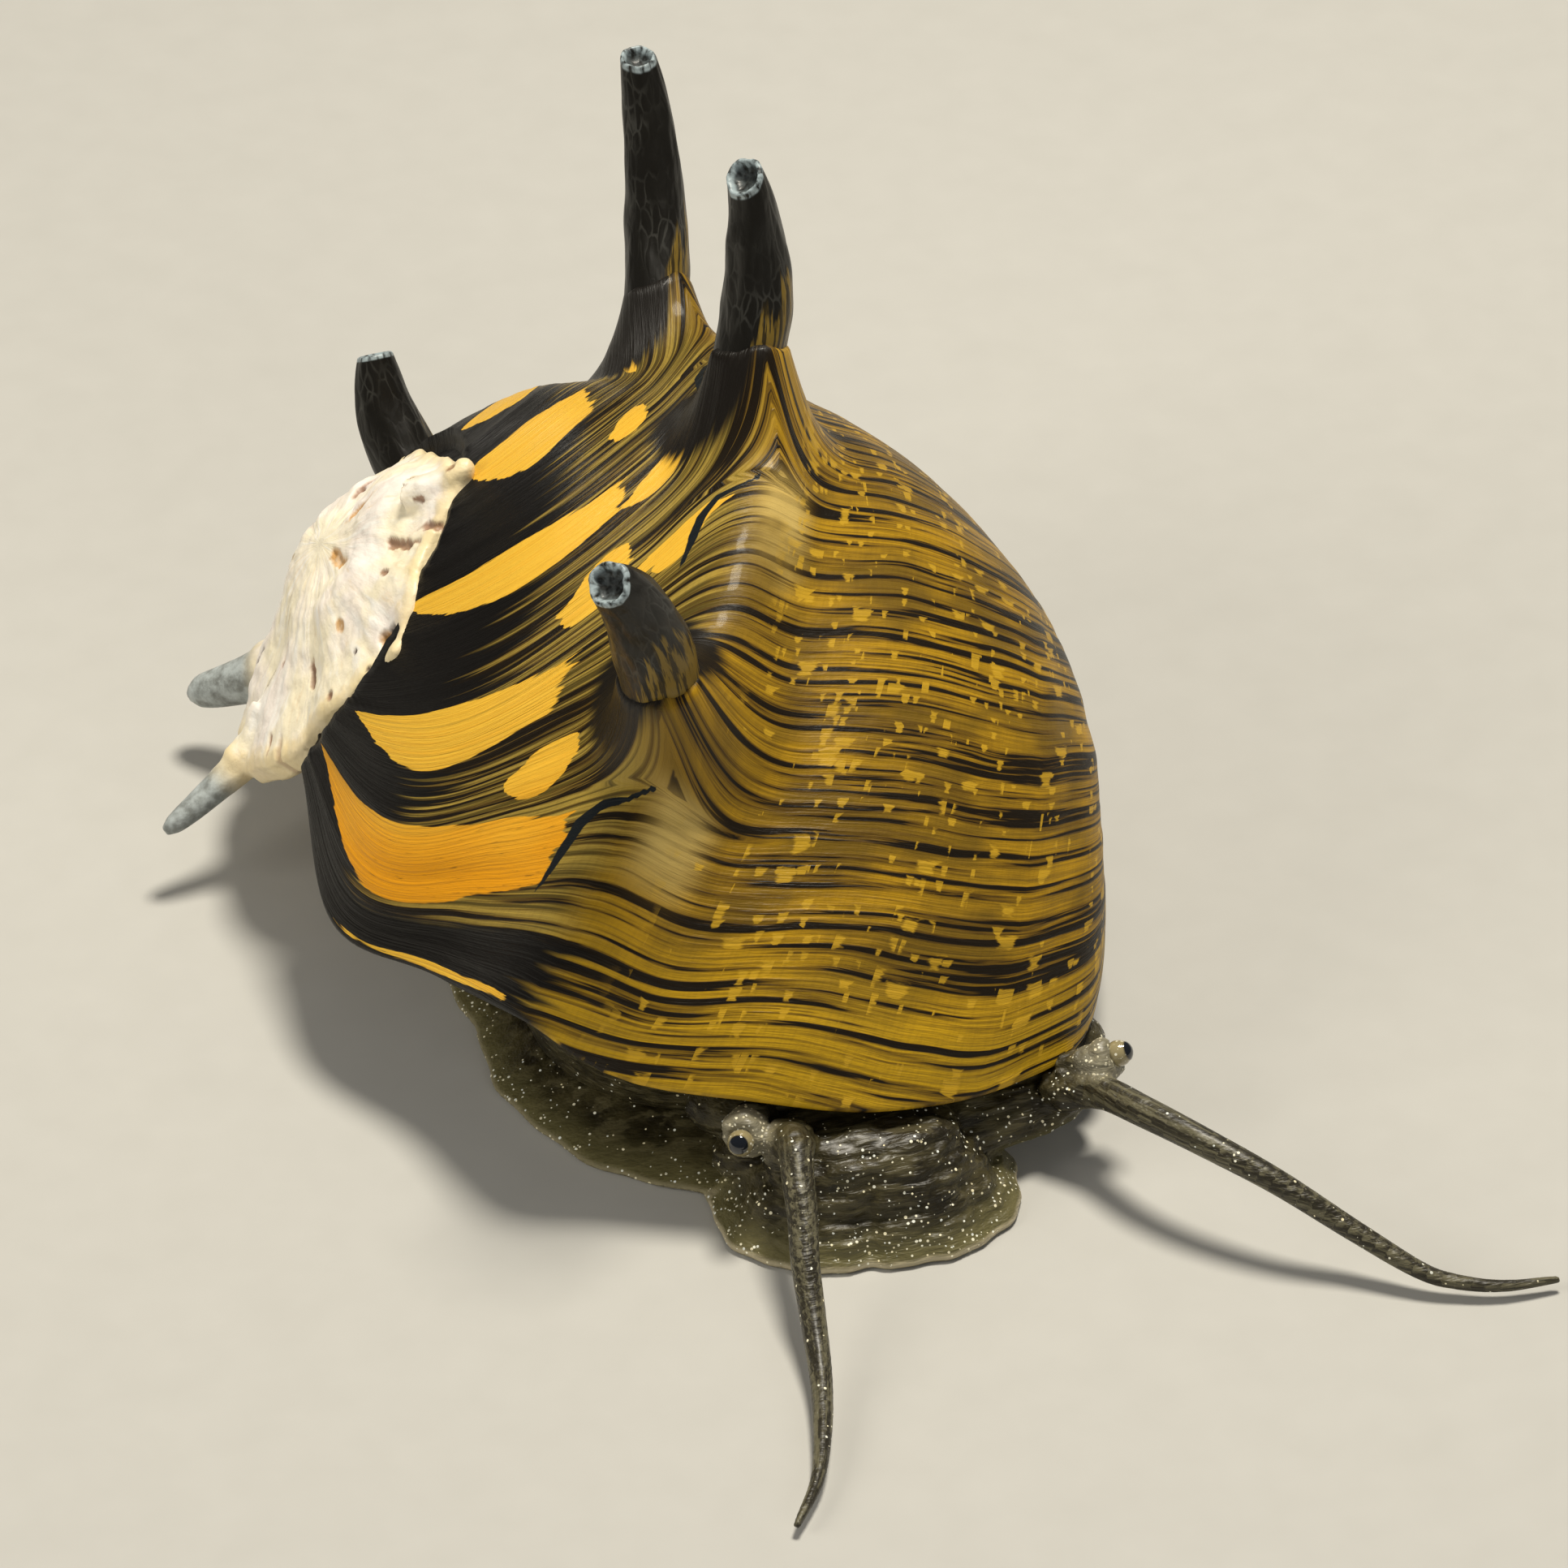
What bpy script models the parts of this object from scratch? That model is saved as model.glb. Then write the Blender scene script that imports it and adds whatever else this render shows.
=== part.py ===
# A horned nerite snail, life size and still, crawling on a flat floor.
# The snail faces -Y, its right side is -X and the floor is at Z = 0.
# Lengths are in millimetres and are written to the meshes in metres.

import math

import bpy
import bmesh
import numpy as np
from mathutils import Vector
from mathutils.bvhtree import BVHTree

for old in list(bpy.data.objects):
    bpy.data.objects.remove(old, do_unlink=True)

MM = 0.001
GAP = 0.3

# Shell: the lip is one growth line, and older growth lines are smaller copies
# of it turned back about the coiling axis.
APEX = np.array([-7.3, 8.0, 8.3])
AXIS = np.array([-0.725, 0.365, 0.584])
GROWTH_LAST = 0.238
GROWTH_EARLY = 0.122
GROWTH_CHANGE = math.radians(-180)
LIP_SUTURE_END = (-9.3, 3.0, 5.0)
LIP_RAMP_LOW = (-9.5, -0.9, 3.6)
LIP_RAMP_HIGH = (-7.9, -3.7, 4.0)
LIP_SHOULDER = (-6.6, -6.7, 4.8)
LIP_UNDER_SHOULDER = (-4.7, -7.9, 3.6)
LIP_FRONT_RIGHT = (-2.1, -9.0, 3.3)
LIP_FRONT = (0.8, -9.6, 2.8)
LIP_FRONT_LEFT = (3.9, -9.2, 2.5)
LIP_LEFT = (6.4, -7.3, 2.4)
LIP_LEFT_REAR = (8.3, -0.8, 2.6)
LIP_REAR = (6.7, 3.3, 2.8)
LIP_INNER = (1.6, 5.9, 2.8)
REAR_EDGE = [(-0.2, 11.0, 2.9), (-3.0, 12.0, 2.8), (-6.5, 12.0, 2.5), (-9.3, 8.6, 1.9),
             (-10.0, 6.2, 2.3), (-9.9, 4.3, 3.4)]
LIP_POINTS = [LIP_SUTURE_END, LIP_RAMP_LOW, LIP_RAMP_HIGH, LIP_SHOULDER,
              LIP_UNDER_SHOULDER, LIP_FRONT_RIGHT, LIP_FRONT, LIP_FRONT_LEFT,
              LIP_LEFT, LIP_LEFT_REAR, LIP_REAR, LIP_INNER]
SHELL_COLUMNS = 92
SHELL_ROWS = 28
SHELL_HEART = np.array([-0.5, 0.5, 4.6])
LIP_RIM = 0.7
LIP_RECESS = 0.9
RECESS_SLOPE = 0.25
UP = np.array([0, 0, 1.0])

# Spire: a worn cap inside the suture, with the stubs of three old horns.
CAP_SEAT = 0.35
CAP_CLEAR = 6.0
CAP_OVERHANG = 0.4
CAP_DOME = 1.0
CAP_MIDDLE_AT = (303, 0.83, -0.75)
FAR_FROM = 190
CAP_BULGE = 0.9
CAP_SWELL = 0.35
DIP_ENDS = 310
CAP_DIP = 1.5
STUBS = [
    dict(back=97, length=0.55, along=(0.1, 0.1, 0.99), radius=0.36, lift=0.7),
    dict(back=284, length=2.7, along=(-0.75, 0.49, -0.45), radius=0.55, lift=-0.4),
    dict(back=322, length=2.35, along=(-0.85, -0.21, -0.48), radius=0.36, lift=-0.4),
]

# Wear of the spire. The edge is scalloped: waves round it, their depth and phase.
# It is also drawn in by the distances given at angles back from the lip. Lumps and
# hollows cover the top: angle back, share of the way out from the middle, reach and height.
CAP_STEP = 5
CAP_SHARES = (0.95, 0.88, 0.78, 0.66, 0.54, 0.42, 0.3, 0.16)
SCALLOPS = [(7, 0.11, 0.4), (12, 0.08, 2.1), (19, 0.04, 0.9)]
DRAWN_IN = [(0, 0.8), (3, 0.9), (12, 0.9), (26, 0.5), (34, 0.3), (42, -0.25), (54, 0.4), (62, 0.8),
            (78, 0.7), (88, 0.4), (96, 0.2), (102, 0.5), (110, 1.15), (130, 1.1), (160, 1.2), (185, 0.45),
            (200, 0.2), (213, 0.0), (280, 0.0), (308, 0.4), (320, 0.6), (343, 0.6), (352, 0.6), (360, 0.8)]
LUMPS = [(132, 0.55, 1.1, 0.26), (96, 0.88, 0.8, 0.16), (50, 0.22, 1.0, -0.24), (276, 0.32, 1.0, 0.22),
         (35, 0.45, 0.9, 0.16), (28, 0.66, 0.8, -0.14), (2, 0.62, 0.8, -0.2), (14, 0.86, 0.8, 0.14),
         (41, 0.97, 0.7, -0.24), (60, 0.86, 0.8, 0.13), (74, 0.68, 0.8, -0.16), (90, 0.5, 0.9, 0.12),
         (340, 0.86, 0.9, 0.16), (322, 0.5, 0.9, -0.18), (300, 0.72, 0.9, 0.18), (262, 0.74, 1.0, -0.2),
         (236, 0.5, 1.0, 0.2), (222, 0.82, 1.0, -0.2), (196, 0.62, 1.1, 0.22), (172, 0.4, 1.0, -0.18),
         (190, 0.88, 0.9, -0.16), (150, 0.82, 0.9, -0.14), (246, 0.88, 0.8, 0.15)]

# Horns on the shoulder: angle back from the lip, length, direction and bow, the radius
# at the foot and at the tip, and the way that the worn end faces.
HORNS = {
    "horn_1": dict(back=35, length=5.5, along=(-0.34, -0.28, 0.89), bow=(0.25, 0.1, 0.5),
                   foot=0.87, tip=0.5, faces=(-0.6, -0.48, 0.65)),
    "horn_2": dict(back=83, length=5.57, along=(0.048, 0.251, 0.967), bow=(0.49, 0.23, -0.28),
                   foot=0.8, tip=0.47, faces=(-0.63, -0.31, 0.71)),
    "horn_3": dict(back=131, length=6.89, along=(0.073, 0.544, 0.836), bow=(0.36, 0.51, -0.46),
                   foot=0.75, tip=0.42, faces=(-0.03, -0.12, 0.98)),
    "horn_4": dict(back=201, length=4.5, along=(-0.19, 0.58, 0.79), bow=(-0.33, 0.38, -0.22),
                   foot=0.82, tip=0.43, faces=(-0.05, 0.55, 0.83)),
}
HORN_TAPER = 2.2
HORN_SIDES = 20
BOSS_HEIGHT = 1.1
BOSS_ROOT = 1.3
BOSS_SPREAD = 1.5
HORN_RIM = 0.06
HORN_PIT_SHARE = 0.58
HORN_PIT_DEPTH = 0.35

# Foot, mantle and head.
FOOT_CENTRE = (0.3, -0.8)
FOOT_HALF_WIDTH = 6.8
FOOT_FRONT = 8.0
FOOT_TAIL = 9.4
FOOT_EDGE = 0.45
FOOT_HEIGHT = 1.3
MANTLE_BOTTOM = FOOT_HEIGHT + GAP
MANTLE_CENTRE = (0.0, -2.2)
MANTLE_HALF_WIDTH = 5.8
MANTLE_FRONT = 4.9
MANTLE_REAR = 5.6
MANTLE_SIDES = 48
ABOVE_SHELL = 12.0
SNOUT_CENTRE = (0.5, -9.0)
SNOUT_HALF_WIDTH = 3.5
SNOUT_REACH = 2.8
SNOUT_BACK = 1.5
SNOUT_RIM = 0.4
SNOUT_HEIGHT = 2.3
SNOUT_TURN = math.radians(-6)
NECK_CENTRE = (1.6, -8.3, 1.15)
NECK_RADII = (4.4, 1.25, 0.95)

# Feelers and eyes, one of each on either side.
RIGHT_FEELER = [(-1.35, -9.9, 2.65), (-1.55, -10.9, 2.5), (-1.7, -11.8, 2.1), (-1.9, -12.7, 1.6),
                (-2.05, -13.8, 1.05), (-2.3, -15.3, 0.6), (-2.7, -16.8, 0.42), (-3.2, -18.1, 0.34),
                (-4.0, -19.3, 0.3)]
LEFT_FEELER = [(5.75, -9.65, 2.2), (6.4, -10.9, 2.45), (7.3, -12.1, 2.4), (8.6, -13.4, 2.0),
               (10.0, -14.5, 1.2), (11.2, -15.5, 0.6), (11.9, -15.9, 0.42), (12.9, -16.25, 0.34),
               (14.2, -16.35, 0.3)]
FEELER_BASE_RADIUS = 0.4
FEELER_MID_RADIUS = 0.27
FEELER_TIP_RADIUS = 0.12
RIGHT_STALK = ((-1.9, -8.55, 2.3), (-2.3, -9.25, 2.45))
LEFT_STALK = ((5.4, -8.9, 2.1), (6.1, -9.05, 2.55))
STALK_RADIUS = 0.5
EYE_RADIUS = 0.3

# Plate that closes the shell, carried on the back of the foot.
OPERCULUM_CENTRE = (0.6, 6.4, 1.95)
OPERCULUM_RADII = (3.6, 1.9)
OPERCULUM_THICKNESS = 0.5


def paint(name, colour, roughness):
    material = bpy.data.materials.new(name)
    material.use_nodes = True
    shader = material.node_tree.nodes["Principled BSDF"]
    shader.inputs["Base Color"].default_value = (*colour, 1.0)
    shader.inputs["Roughness"].default_value = roughness
    shader.inputs["Metallic"].default_value = 0.0
    return material


SHELL_PAINT = paint("shell", (0.33, 0.22, 0.05), 0.3)
SPIRE_PAINT = paint("worn_shell", (0.72, 0.62, 0.52), 0.8)
HORN_PAINT = paint("horn", (0.03, 0.022, 0.018), 0.35)
FLESH_PAINT = paint("flesh", (0.07, 0.065, 0.055), 0.4)
EYE_PAINT = paint("eye", (0.01, 0.01, 0.01), 0.1)
PLATE_PAINT = paint("operculum", (0.45, 0.38, 0.3), 0.45)


def unit(v):
    v = np.asarray(v, float)
    return v / np.linalg.norm(v)


def turned(points, angle):
    """Points turned about the coiling axis through the apex."""
    axis = unit(AXIS)
    p = np.asarray(points, float) - APEX
    along = np.outer(p @ axis, axis)
    return APEX + along + (p - along) * math.cos(angle) + np.cross(axis, p) * math.sin(angle)


def growth(angle):
    """Size of the shell at an angle back from the lip (0 at the lip, negative before it)."""
    late = max(angle, GROWTH_CHANGE)
    early = min(angle - GROWTH_CHANGE, 0.0)
    return math.exp(GROWTH_LAST * late + GROWTH_EARLY * early)


def grown(points, angle):
    """The same points of the lip as they stood when the shell was younger."""
    return APEX + growth(angle) * (turned(points, -angle) - APEX)


def smooth_path(points, count):
    """A smooth curve through the points, evenly spread along its length."""
    p = np.asarray(points, float)
    p = np.vstack([2 * p[0] - p[1], p, 2 * p[-1] - p[-2]])
    fine = []
    for i in range(1, len(p) - 2):
        t = np.linspace(0, 1, 24, endpoint=False)[:, None]
        a, b, c, d = p[i - 1], p[i], p[i + 1], p[i + 2]
        fine.append(0.5 * (2 * b + (c - a) * t + (2 * a - 5 * b + 4 * c - d) * t ** 2
                           + (3 * b - a - 3 * c + d) * t ** 3))
    fine = np.vstack(fine + [p[-2:-1]])
    run = np.r_[0, np.cumsum(np.linalg.norm(np.diff(fine, axis=0), axis=1))]
    at = np.linspace(0, run[-1], count)
    return np.stack([np.interp(at, run, fine[:, k]) for k in range(3)], axis=1)


def mesh_object(name, verts, faces, material=None):
    """A closed mesh object whose origin is the middle of its own box."""
    v = np.asarray(verts, float)
    middle = (v.min(0) + v.max(0)) / 2
    mesh = bpy.data.meshes.new(name)
    mesh.from_pydata(((v - middle) * MM).tolist(), [], [tuple(f) for f in faces])
    mesh.update()
    work = bmesh.new()
    work.from_mesh(mesh)
    bmesh.ops.recalc_face_normals(work, faces=work.faces)
    work.to_mesh(mesh)
    work.free()
    for face in mesh.polygons:
        face.use_smooth = True
    thing = bpy.data.objects.new(name, mesh)
    thing.location = Vector(middle * MM)
    bpy.context.collection.objects.link(thing)
    if material:
        mesh.materials.append(material)
    return thing


def lofted(name, rings, material=None):
    """A closed solid through a row of rings, each closed at its end by a fan."""
    rings = [np.asarray(r, float) for r in rings]
    n = len(rings[0])
    verts = np.vstack(rings + [rings[0].mean(0)[None], rings[-1].mean(0)[None]])
    first, last = len(verts) - 2, len(verts) - 1
    faces = []
    for i in range(len(rings) - 1):
        for j in range(n):
            k = (j + 1) % n
            faces.append((i * n + j, i * n + k, (i + 1) * n + k, (i + 1) * n + j))
    top = (len(rings) - 1) * n
    for j in range(n):
        k = (j + 1) % n
        faces.append((first, k, j))
        faces.append((last, top + j, top + k))
    return mesh_object(name, verts, faces, material)


def ring_about(centre, along, radius, sides):
    """A ring of points about a centre, square to a direction, always started on the same side."""
    along = unit(along)
    side = unit(np.cross(along, (0.1, 0.97, 0.2)))
    up = np.cross(side, along)
    t = 2 * math.pi * np.arange(sides)[:, None] / sides
    return centre + radius * (np.cos(t) * side + np.sin(t) * up)


def tube(name, path, radii, sides, material=None):
    """A tube of changing width along a path, flat at both ends."""
    path = np.asarray(path, float)
    ways = np.gradient(path, axis=0)
    side = unit(np.cross(ways[0], (0.13, 0.21, 0.97)))
    rings = []
    for centre, way, radius in zip(path, ways, radii):
        way = unit(way)
        side = unit(side - way * (side @ way))
        up = np.cross(side, way)
        t = 2 * math.pi * np.arange(sides)[:, None] / sides
        rings.append(centre + radius * (np.cos(t) * side + np.sin(t) * up))
    return lofted(name, rings, material)


def combine(target, tool, operation):
    """One exact Boolean, applied, with the tool removed afterwards."""
    step = target.modifiers.new("cut", "BOOLEAN")
    step.operation = operation
    step.solver = "EXACT"
    step.object = tool
    bpy.context.view_layer.update()
    graph = bpy.context.evaluated_depsgraph_get()
    done = bpy.data.meshes.new_from_object(target.evaluated_get(graph))
    target.modifiers.clear()
    before = target.data
    target.data = done
    bpy.data.meshes.remove(before)
    bpy.data.objects.remove(tool, do_unlink=True)


def tidy(target):
    """Weld stray points and keep only the largest closed surface."""
    work = bmesh.new()
    work.from_mesh(target.data)
    bmesh.ops.remove_doubles(work, verts=work.verts, dist=0.00001)
    bmesh.ops.dissolve_degenerate(work, edges=work.edges, dist=0.00001)
    left = set(work.faces)
    groups = []
    while left:
        stack = [left.pop()]
        group = list(stack)
        while stack:
            for edge in stack.pop().edges:
                for face in edge.link_faces:
                    if face in left:
                        left.remove(face)
                        stack.append(face)
                        group.append(face)
        groups.append(group)
    groups.sort(key=lambda g: sum(f.calc_area() for f in g))
    for group in groups[:-1]:
        bmesh.ops.delete(work, geom=group, context="FACES")
    loose = [v for v in work.verts if not v.link_faces]
    bmesh.ops.delete(work, geom=loose, context="VERTS")
    bmesh.ops.triangulate(work, faces=work.faces)
    bmesh.ops.recalc_face_normals(work, faces=work.faces)
    work.to_mesh(target.data)
    work.free()
    for face in target.data.polygons:
        face.use_smooth = True


# The outside of the shell: growth lines swept back from the lip, and the worn cap.
LIP = smooth_path(LIP_POINTS, 56)
SWEEP = [math.radians(a) for a in range(0, -341, -5)]
AXIS = unit(AXIS)
CAP_SIDE = np.array(LIP_SUTURE_END) - APEX
CAP_SIDE = unit(CAP_SIDE - AXIS * (CAP_SIDE @ AXIS))


def cap_way(back):
    """The direction straight out from the coiling axis at an angle in degrees back from the lip."""
    return turned([APEX + CAP_SIDE], math.radians(back))[0] - APEX


def cap_rim(back):
    """A point of the spire's edge: the suture, then a curve round the far side to the lip."""
    if back <= FAR_FROM:
        return grown([LIP_SUTURE_END], -math.radians(back))[0]
    share = (back - FAR_FROM) / (360 - FAR_FROM)
    start = grown([LIP_SUTURE_END], -math.radians(FAR_FROM))[0]
    end = np.array(LIP_SUTURE_END)
    r0, h0 = np.linalg.norm(np.cross(start - APEX, AXIS)), (start - APEX) @ AXIS
    r1, h1 = np.linalg.norm(np.cross(end - APEX, AXIS)), (end - APEX) @ AXIS
    ease = share * share * (3 - 2 * share)
    rise = math.sin(math.pi * share)
    out = r0 + (r1 - r0) * ease + CAP_BULGE * rise
    return APEX + cap_way(back) * out + AXIS * (h0 + (h1 - h0) * ease + CAP_SWELL * rise)


def cap_dip(back):
    """How far the edge dips on the side turned away from the lip."""
    share = min(max((back - FAR_FROM) / (DIP_ENDS - FAR_FROM), 0), 1)
    return CAP_DIP * math.sin(math.pi * share) ** 2


CAP_BACKS = range(0, 360, CAP_STEP)
CAP_MIDDLE = APEX + cap_way(CAP_MIDDLE_AT[0]) * CAP_MIDDLE_AT[1] + AXIS * CAP_MIDDLE_AT[2]


def cap_point(back, share):
    """A point of the smooth cap on the way from its middle to its edge at an angle back from the lip."""
    dome = CAP_DOME * (1 - share ** 2) * 0.5 - cap_dip(back) * share ** 8
    return CAP_MIDDLE + (cap_rim(back) - CAP_MIDDLE) * share + AXIS * dome


CAP_RIM = np.array([cap_point(b, 1) for b in CAP_BACKS])
LUMP_CENTRES = [cap_point(back, share) for back, share, reach, height in LUMPS]


def worn(point):
    """A point of the cap raised or lowered by the lumps near it."""
    rise = 0.0
    for centre, (back, share, reach, height) in zip(LUMP_CENTRES, LUMPS):
        rise += height * math.exp(-(np.linalg.norm(point - centre) / reach) ** 2)
    return point + AXIS * rise


def edge_shift(back):
    """How far the worn edge lies outside the smooth one at an angle back from the lip."""
    waves = sum(deep * math.sin(math.radians(back) * count + phase) for count, deep, phase in SCALLOPS)
    angles, distances = zip(*DRAWN_IN)
    return waves - float(np.interp(back, angles, distances))


def outer_surface():
    """Growth lines, the skirt under the lip and the worn cap with its side."""
    verts = []
    faces = []
    n = len(LIP)
    verts.extend(LIP - (0, 0, 1.0))
    for a in SWEEP:
        verts.extend(grown(LIP, a))
    for i in range(len(SWEEP)):
        for j in range(n - 1):
            faces.append((i * n + j, i * n + j + 1, (i + 1) * n + j + 1, (i + 1) * n + j))
    shift = len(verts)
    m = len(CAP_RIM)
    verts.extend(CAP_RIM)
    for share in CAP_SHARES:
        verts.extend(worn(cap_point(b, share)) for b in CAP_BACKS)
    verts.append(worn(CAP_MIDDLE + AXIS * CAP_DOME * 0.5))
    for row in range(len(CAP_SHARES)):
        for j in range(m):
            k = (j + 1) % m
            a, b = shift + row * m, shift + (row + 1) * m
            faces.append((a + j, a + k, b + k, b + j))
    top = shift + len(CAP_SHARES) * m
    for j in range(m):
        faces.append((top + j, top + (j + 1) % m, len(verts) - 1))
    wall = len(verts)
    verts.extend(CAP_MIDDLE + (CAP_RIM - CAP_MIDDLE) * 0.85 - AXIS * 2.0)
    for j in range(m):
        k = (j + 1) % m
        faces.append((shift + j, shift + k, wall + k, wall + j))
    return BVHTree.FromPolygons([Vector(v) for v in verts], faces)


def reach(surface, direction):
    """How far the shell reaches from its heart in one direction, or None past its edge."""
    d = Vector(unit(direction))
    hit = surface.ray_cast(Vector(SHELL_HEART) + d * 40, -d)
    if hit[0] is None or hit[3] > 37:
        return None
    return 40 - hit[3]


def lip_height(angle):
    """Height of the shell's lower edge, in one direction on the floor from the heart."""
    edge = np.vstack([LIP, REAR_EDGE])
    flat = edge[:, :2] - SHELL_HEART[:2]
    around = np.unwrap(np.arctan2(flat[:, 1], flat[:, 0]))
    while angle < around[0]:
        angle += 2 * math.pi
    while angle > around[0] + 2 * math.pi:
        angle -= 2 * math.pi
    around = np.r_[around, around[0] + 2 * math.pi]
    return float(np.interp(angle, around, np.r_[edge[:, 2], edge[0, 2]]))


def inward_from(rim):
    """Level directions from each point of the shell's rim towards its middle."""
    inward = np.array([rim[:, 0].mean(), rim[:, 1].mean(), 0]) - rim
    inward[:, 2] = 0
    return inward / np.linalg.norm(inward, axis=1)[:, None]


def recess_edge(rim):
    """The edge of the recess's roof: in from the rim, and higher."""
    return rim + inward_from(rim) * (LIP_RIM + RECESS_SLOPE) + UP * LIP_RECESS


def build_shell(surface):
    """A closed solid under the outside surface, open below by a shallow recess."""
    n = SHELL_COLUMNS
    columns = []
    for j in range(n):
        a = 2 * math.pi * j / n

        def way(tilt):
            return np.array([math.cos(a) * math.cos(tilt), math.sin(a) * math.cos(tilt), math.sin(tilt)])
        out = reach(surface, way(0)) or 8.0
        low = math.atan2(lip_height(a) - SHELL_HEART[2], out)
        while reach(surface, way(low)) is None:
            low += math.radians(0.25)
        tilts = [low + (math.pi / 2 - low) * i / SHELL_ROWS for i in range(SHELL_ROWS)]
        columns.append([SHELL_HEART + way(t) * reach(surface, way(t)) for t in tilts])
    rows = np.array(columns).transpose(1, 0, 2)
    top = SHELL_HEART + np.array([0, 0, 1.0]) * reach(surface, (0, 0, 1))
    rim = rows[0]
    inner = rim + inward_from(rim) * LIP_RIM
    deep = recess_edge(rim)
    flat = deep.mean(0)
    half = deep + (flat - deep) * 0.5
    rings = [half, deep, inner] + list(rows)
    verts = np.vstack([[flat]] + rings + [[top]])
    faces = []
    for r in range(len(rings) - 1):
        for j in range(n):
            k = (j + 1) % n
            a, b = 1 + r * n, 1 + (r + 1) * n
            faces.append((a + j, a + k, b + k, b + j))
    last = 1 + (len(rings) - 1) * n
    for j in range(n):
        k = (j + 1) % n
        faces.append((0, 1 + k, 1 + j))
        faces.append((last + j, last + k, len(verts) - 1))
    return verts, faces, rim


verts, faces, RIM = build_shell(outer_surface())
shell = mesh_object("shell_body_whorl", verts, faces, SHELL_PAINT)
spire = mesh_object("shell_spire", verts, faces, SPIRE_PAINT)


# Horns: each stands on a flared boss of the shoulder.
SHOULDER = np.array(LIP_SHOULDER)


def horn_line(horn, base, t):
    """Middle of a horn at a share of its length, and its direction there."""
    way = unit(horn["along"]) * horn["length"]
    bow = np.array(horn["bow"])
    start = (BOSS_HEIGHT + GAP) / horn["length"]
    settle = bow * 4 * start * (1 - start) * (1 - t) / (1 - start)
    return base + way * t + bow * 4 * t * (1 - t) - settle, unit(way + bow * 4 * (1 - 2 * t))


for name, horn in HORNS.items():
    base = grown([SHOULDER], -math.radians(horn["back"]))[0]
    way = unit(horn["along"])
    wide = horn["foot"] * BOSS_SPREAD
    boss = [ring_about(base - way * BOSS_ROOT, way, wide * 0.8, HORN_SIDES),
            ring_about(base - way * 0.2, way, wide, HORN_SIDES),
            ring_about(base + way * 0.35, way, (wide + horn["foot"]) * 0.48, HORN_SIDES),
            ring_about(base + way * BOSS_HEIGHT, way, horn["foot"], HORN_SIDES)]
    combine(shell, lofted("boss", boss), "UNION")
    foot_of_horn = base + way * (BOSS_HEIGHT + GAP)
    rings = [ring_about(foot_of_horn, way, horn["foot"] * 0.97, HORN_SIDES)]
    start = (BOSS_HEIGHT + GAP) / horn["length"]
    facing = unit(horn["faces"])
    for share in np.linspace(0.08, 1, 8):
        centre, heading = horn_line(horn, base, start + (1 - start) * share)
        radius = horn["foot"] + (horn["tip"] - horn["foot"]) * share ** HORN_TAPER
        turn = max(share - 0.7, 0) / 0.3
        rings.append(ring_about(centre, heading * (1 - turn) + facing * turn, radius, HORN_SIDES))
    end = rings[-1].mean(0)
    pit = horn["tip"] * HORN_PIT_SHARE
    rings.append(ring_about(end + facing * HORN_RIM, facing, horn["tip"] * 0.86, HORN_SIDES))
    rings.append(ring_about(end, facing, pit, HORN_SIDES))
    rings.append(ring_about(end - heading * HORN_PIT_DEPTH, facing, pit * 0.6, HORN_SIDES))
    lofted(name, rings, HORN_PAINT)


def cap_prism(widen, low):
    """A prism along the coiling axis with the cap's outline."""
    heights = (CAP_RIM - APEX) @ AXIS
    out = CAP_RIM - APEX - np.outer(heights, AXIS)
    length = np.linalg.norm(out, axis=1)[:, None]
    shifts = np.array([edge_shift(back) for back in CAP_BACKS])[:, None]
    out = out * (length + widen + shifts) / length
    floor = heights.min() - CAP_SEAT
    bottom = APEX + out * 0.86 + AXIS * (floor + low)
    waist = APEX + out + np.outer(heights - 0.1, AXIS)
    top = APEX + out + AXIS * CAP_CLEAR
    return lofted("cap_prism", [bottom, waist, top])


combine(shell, cap_prism(CAP_OVERHANG + GAP, -GAP / 2), "DIFFERENCE")
combine(spire, cap_prism(CAP_OVERHANG, GAP / 2), "INTERSECT")

for stub in STUBS:
    root = cap_point(stub["back"], 1)
    inside = unit(CAP_MIDDLE + AXIS * stub["lift"] - root)
    heading = unit(stub["along"])
    stub_path = smooth_path([root + inside * 1.5, root + inside * 0.3, root + heading * stub["length"] * 0.5,
                             root + heading * stub["length"]], 6)
    widths = [stub["radius"] * w for w in (1.3, 1.35, 1.25, 1.0, 0.75, 0.45)]
    combine(spire, tube("stub", stub_path, widths, 10), "UNION")
tidy(shell)
tidy(spire)


# Foot: a broad sole with a thin edge, cut clear of the head.
def oval(angle, half, front, back, power=2.2):
    c, s = math.cos(angle), math.sin(angle)
    long = front if s < 0 else back
    r = (abs(c / half) ** power + abs(s / long) ** power) ** (-1 / power)
    return r * c, r * s


def domed(name, centre, outline, rim, height, shoulder, sides, material=None, turn=0.0):
    """A low form on the floor: a flat base, a thin edge and a raised middle."""
    rings = []
    for share, level in ((0.5, 0.0), (0.97, 0.0), (1.0, rim * 0.35), (0.985, rim),
                         (0.93, rim + 0.05), (0.93 - shoulder * 0.35, rim + (height - rim) * 0.4),
                         (0.93 - shoulder * 0.7, rim + (height - rim) * 0.85),
                         (0.93 - shoulder, height), (0.2, height + 0.02)):
        ring = []
        for j in range(sides):
            x, y = outline(2 * math.pi * j / sides)
            x, y = x * share, y * share
            ring.append((centre[0] + x * math.cos(turn) - y * math.sin(turn),
                         centre[1] + x * math.sin(turn) + y * math.cos(turn), level))
        rings.append(ring)
    return lofted(name, rings, material)


def sole_outline(angle):
    return oval(angle, FOOT_HALF_WIDTH, FOOT_FRONT, FOOT_TAIL, 2.4)


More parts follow.
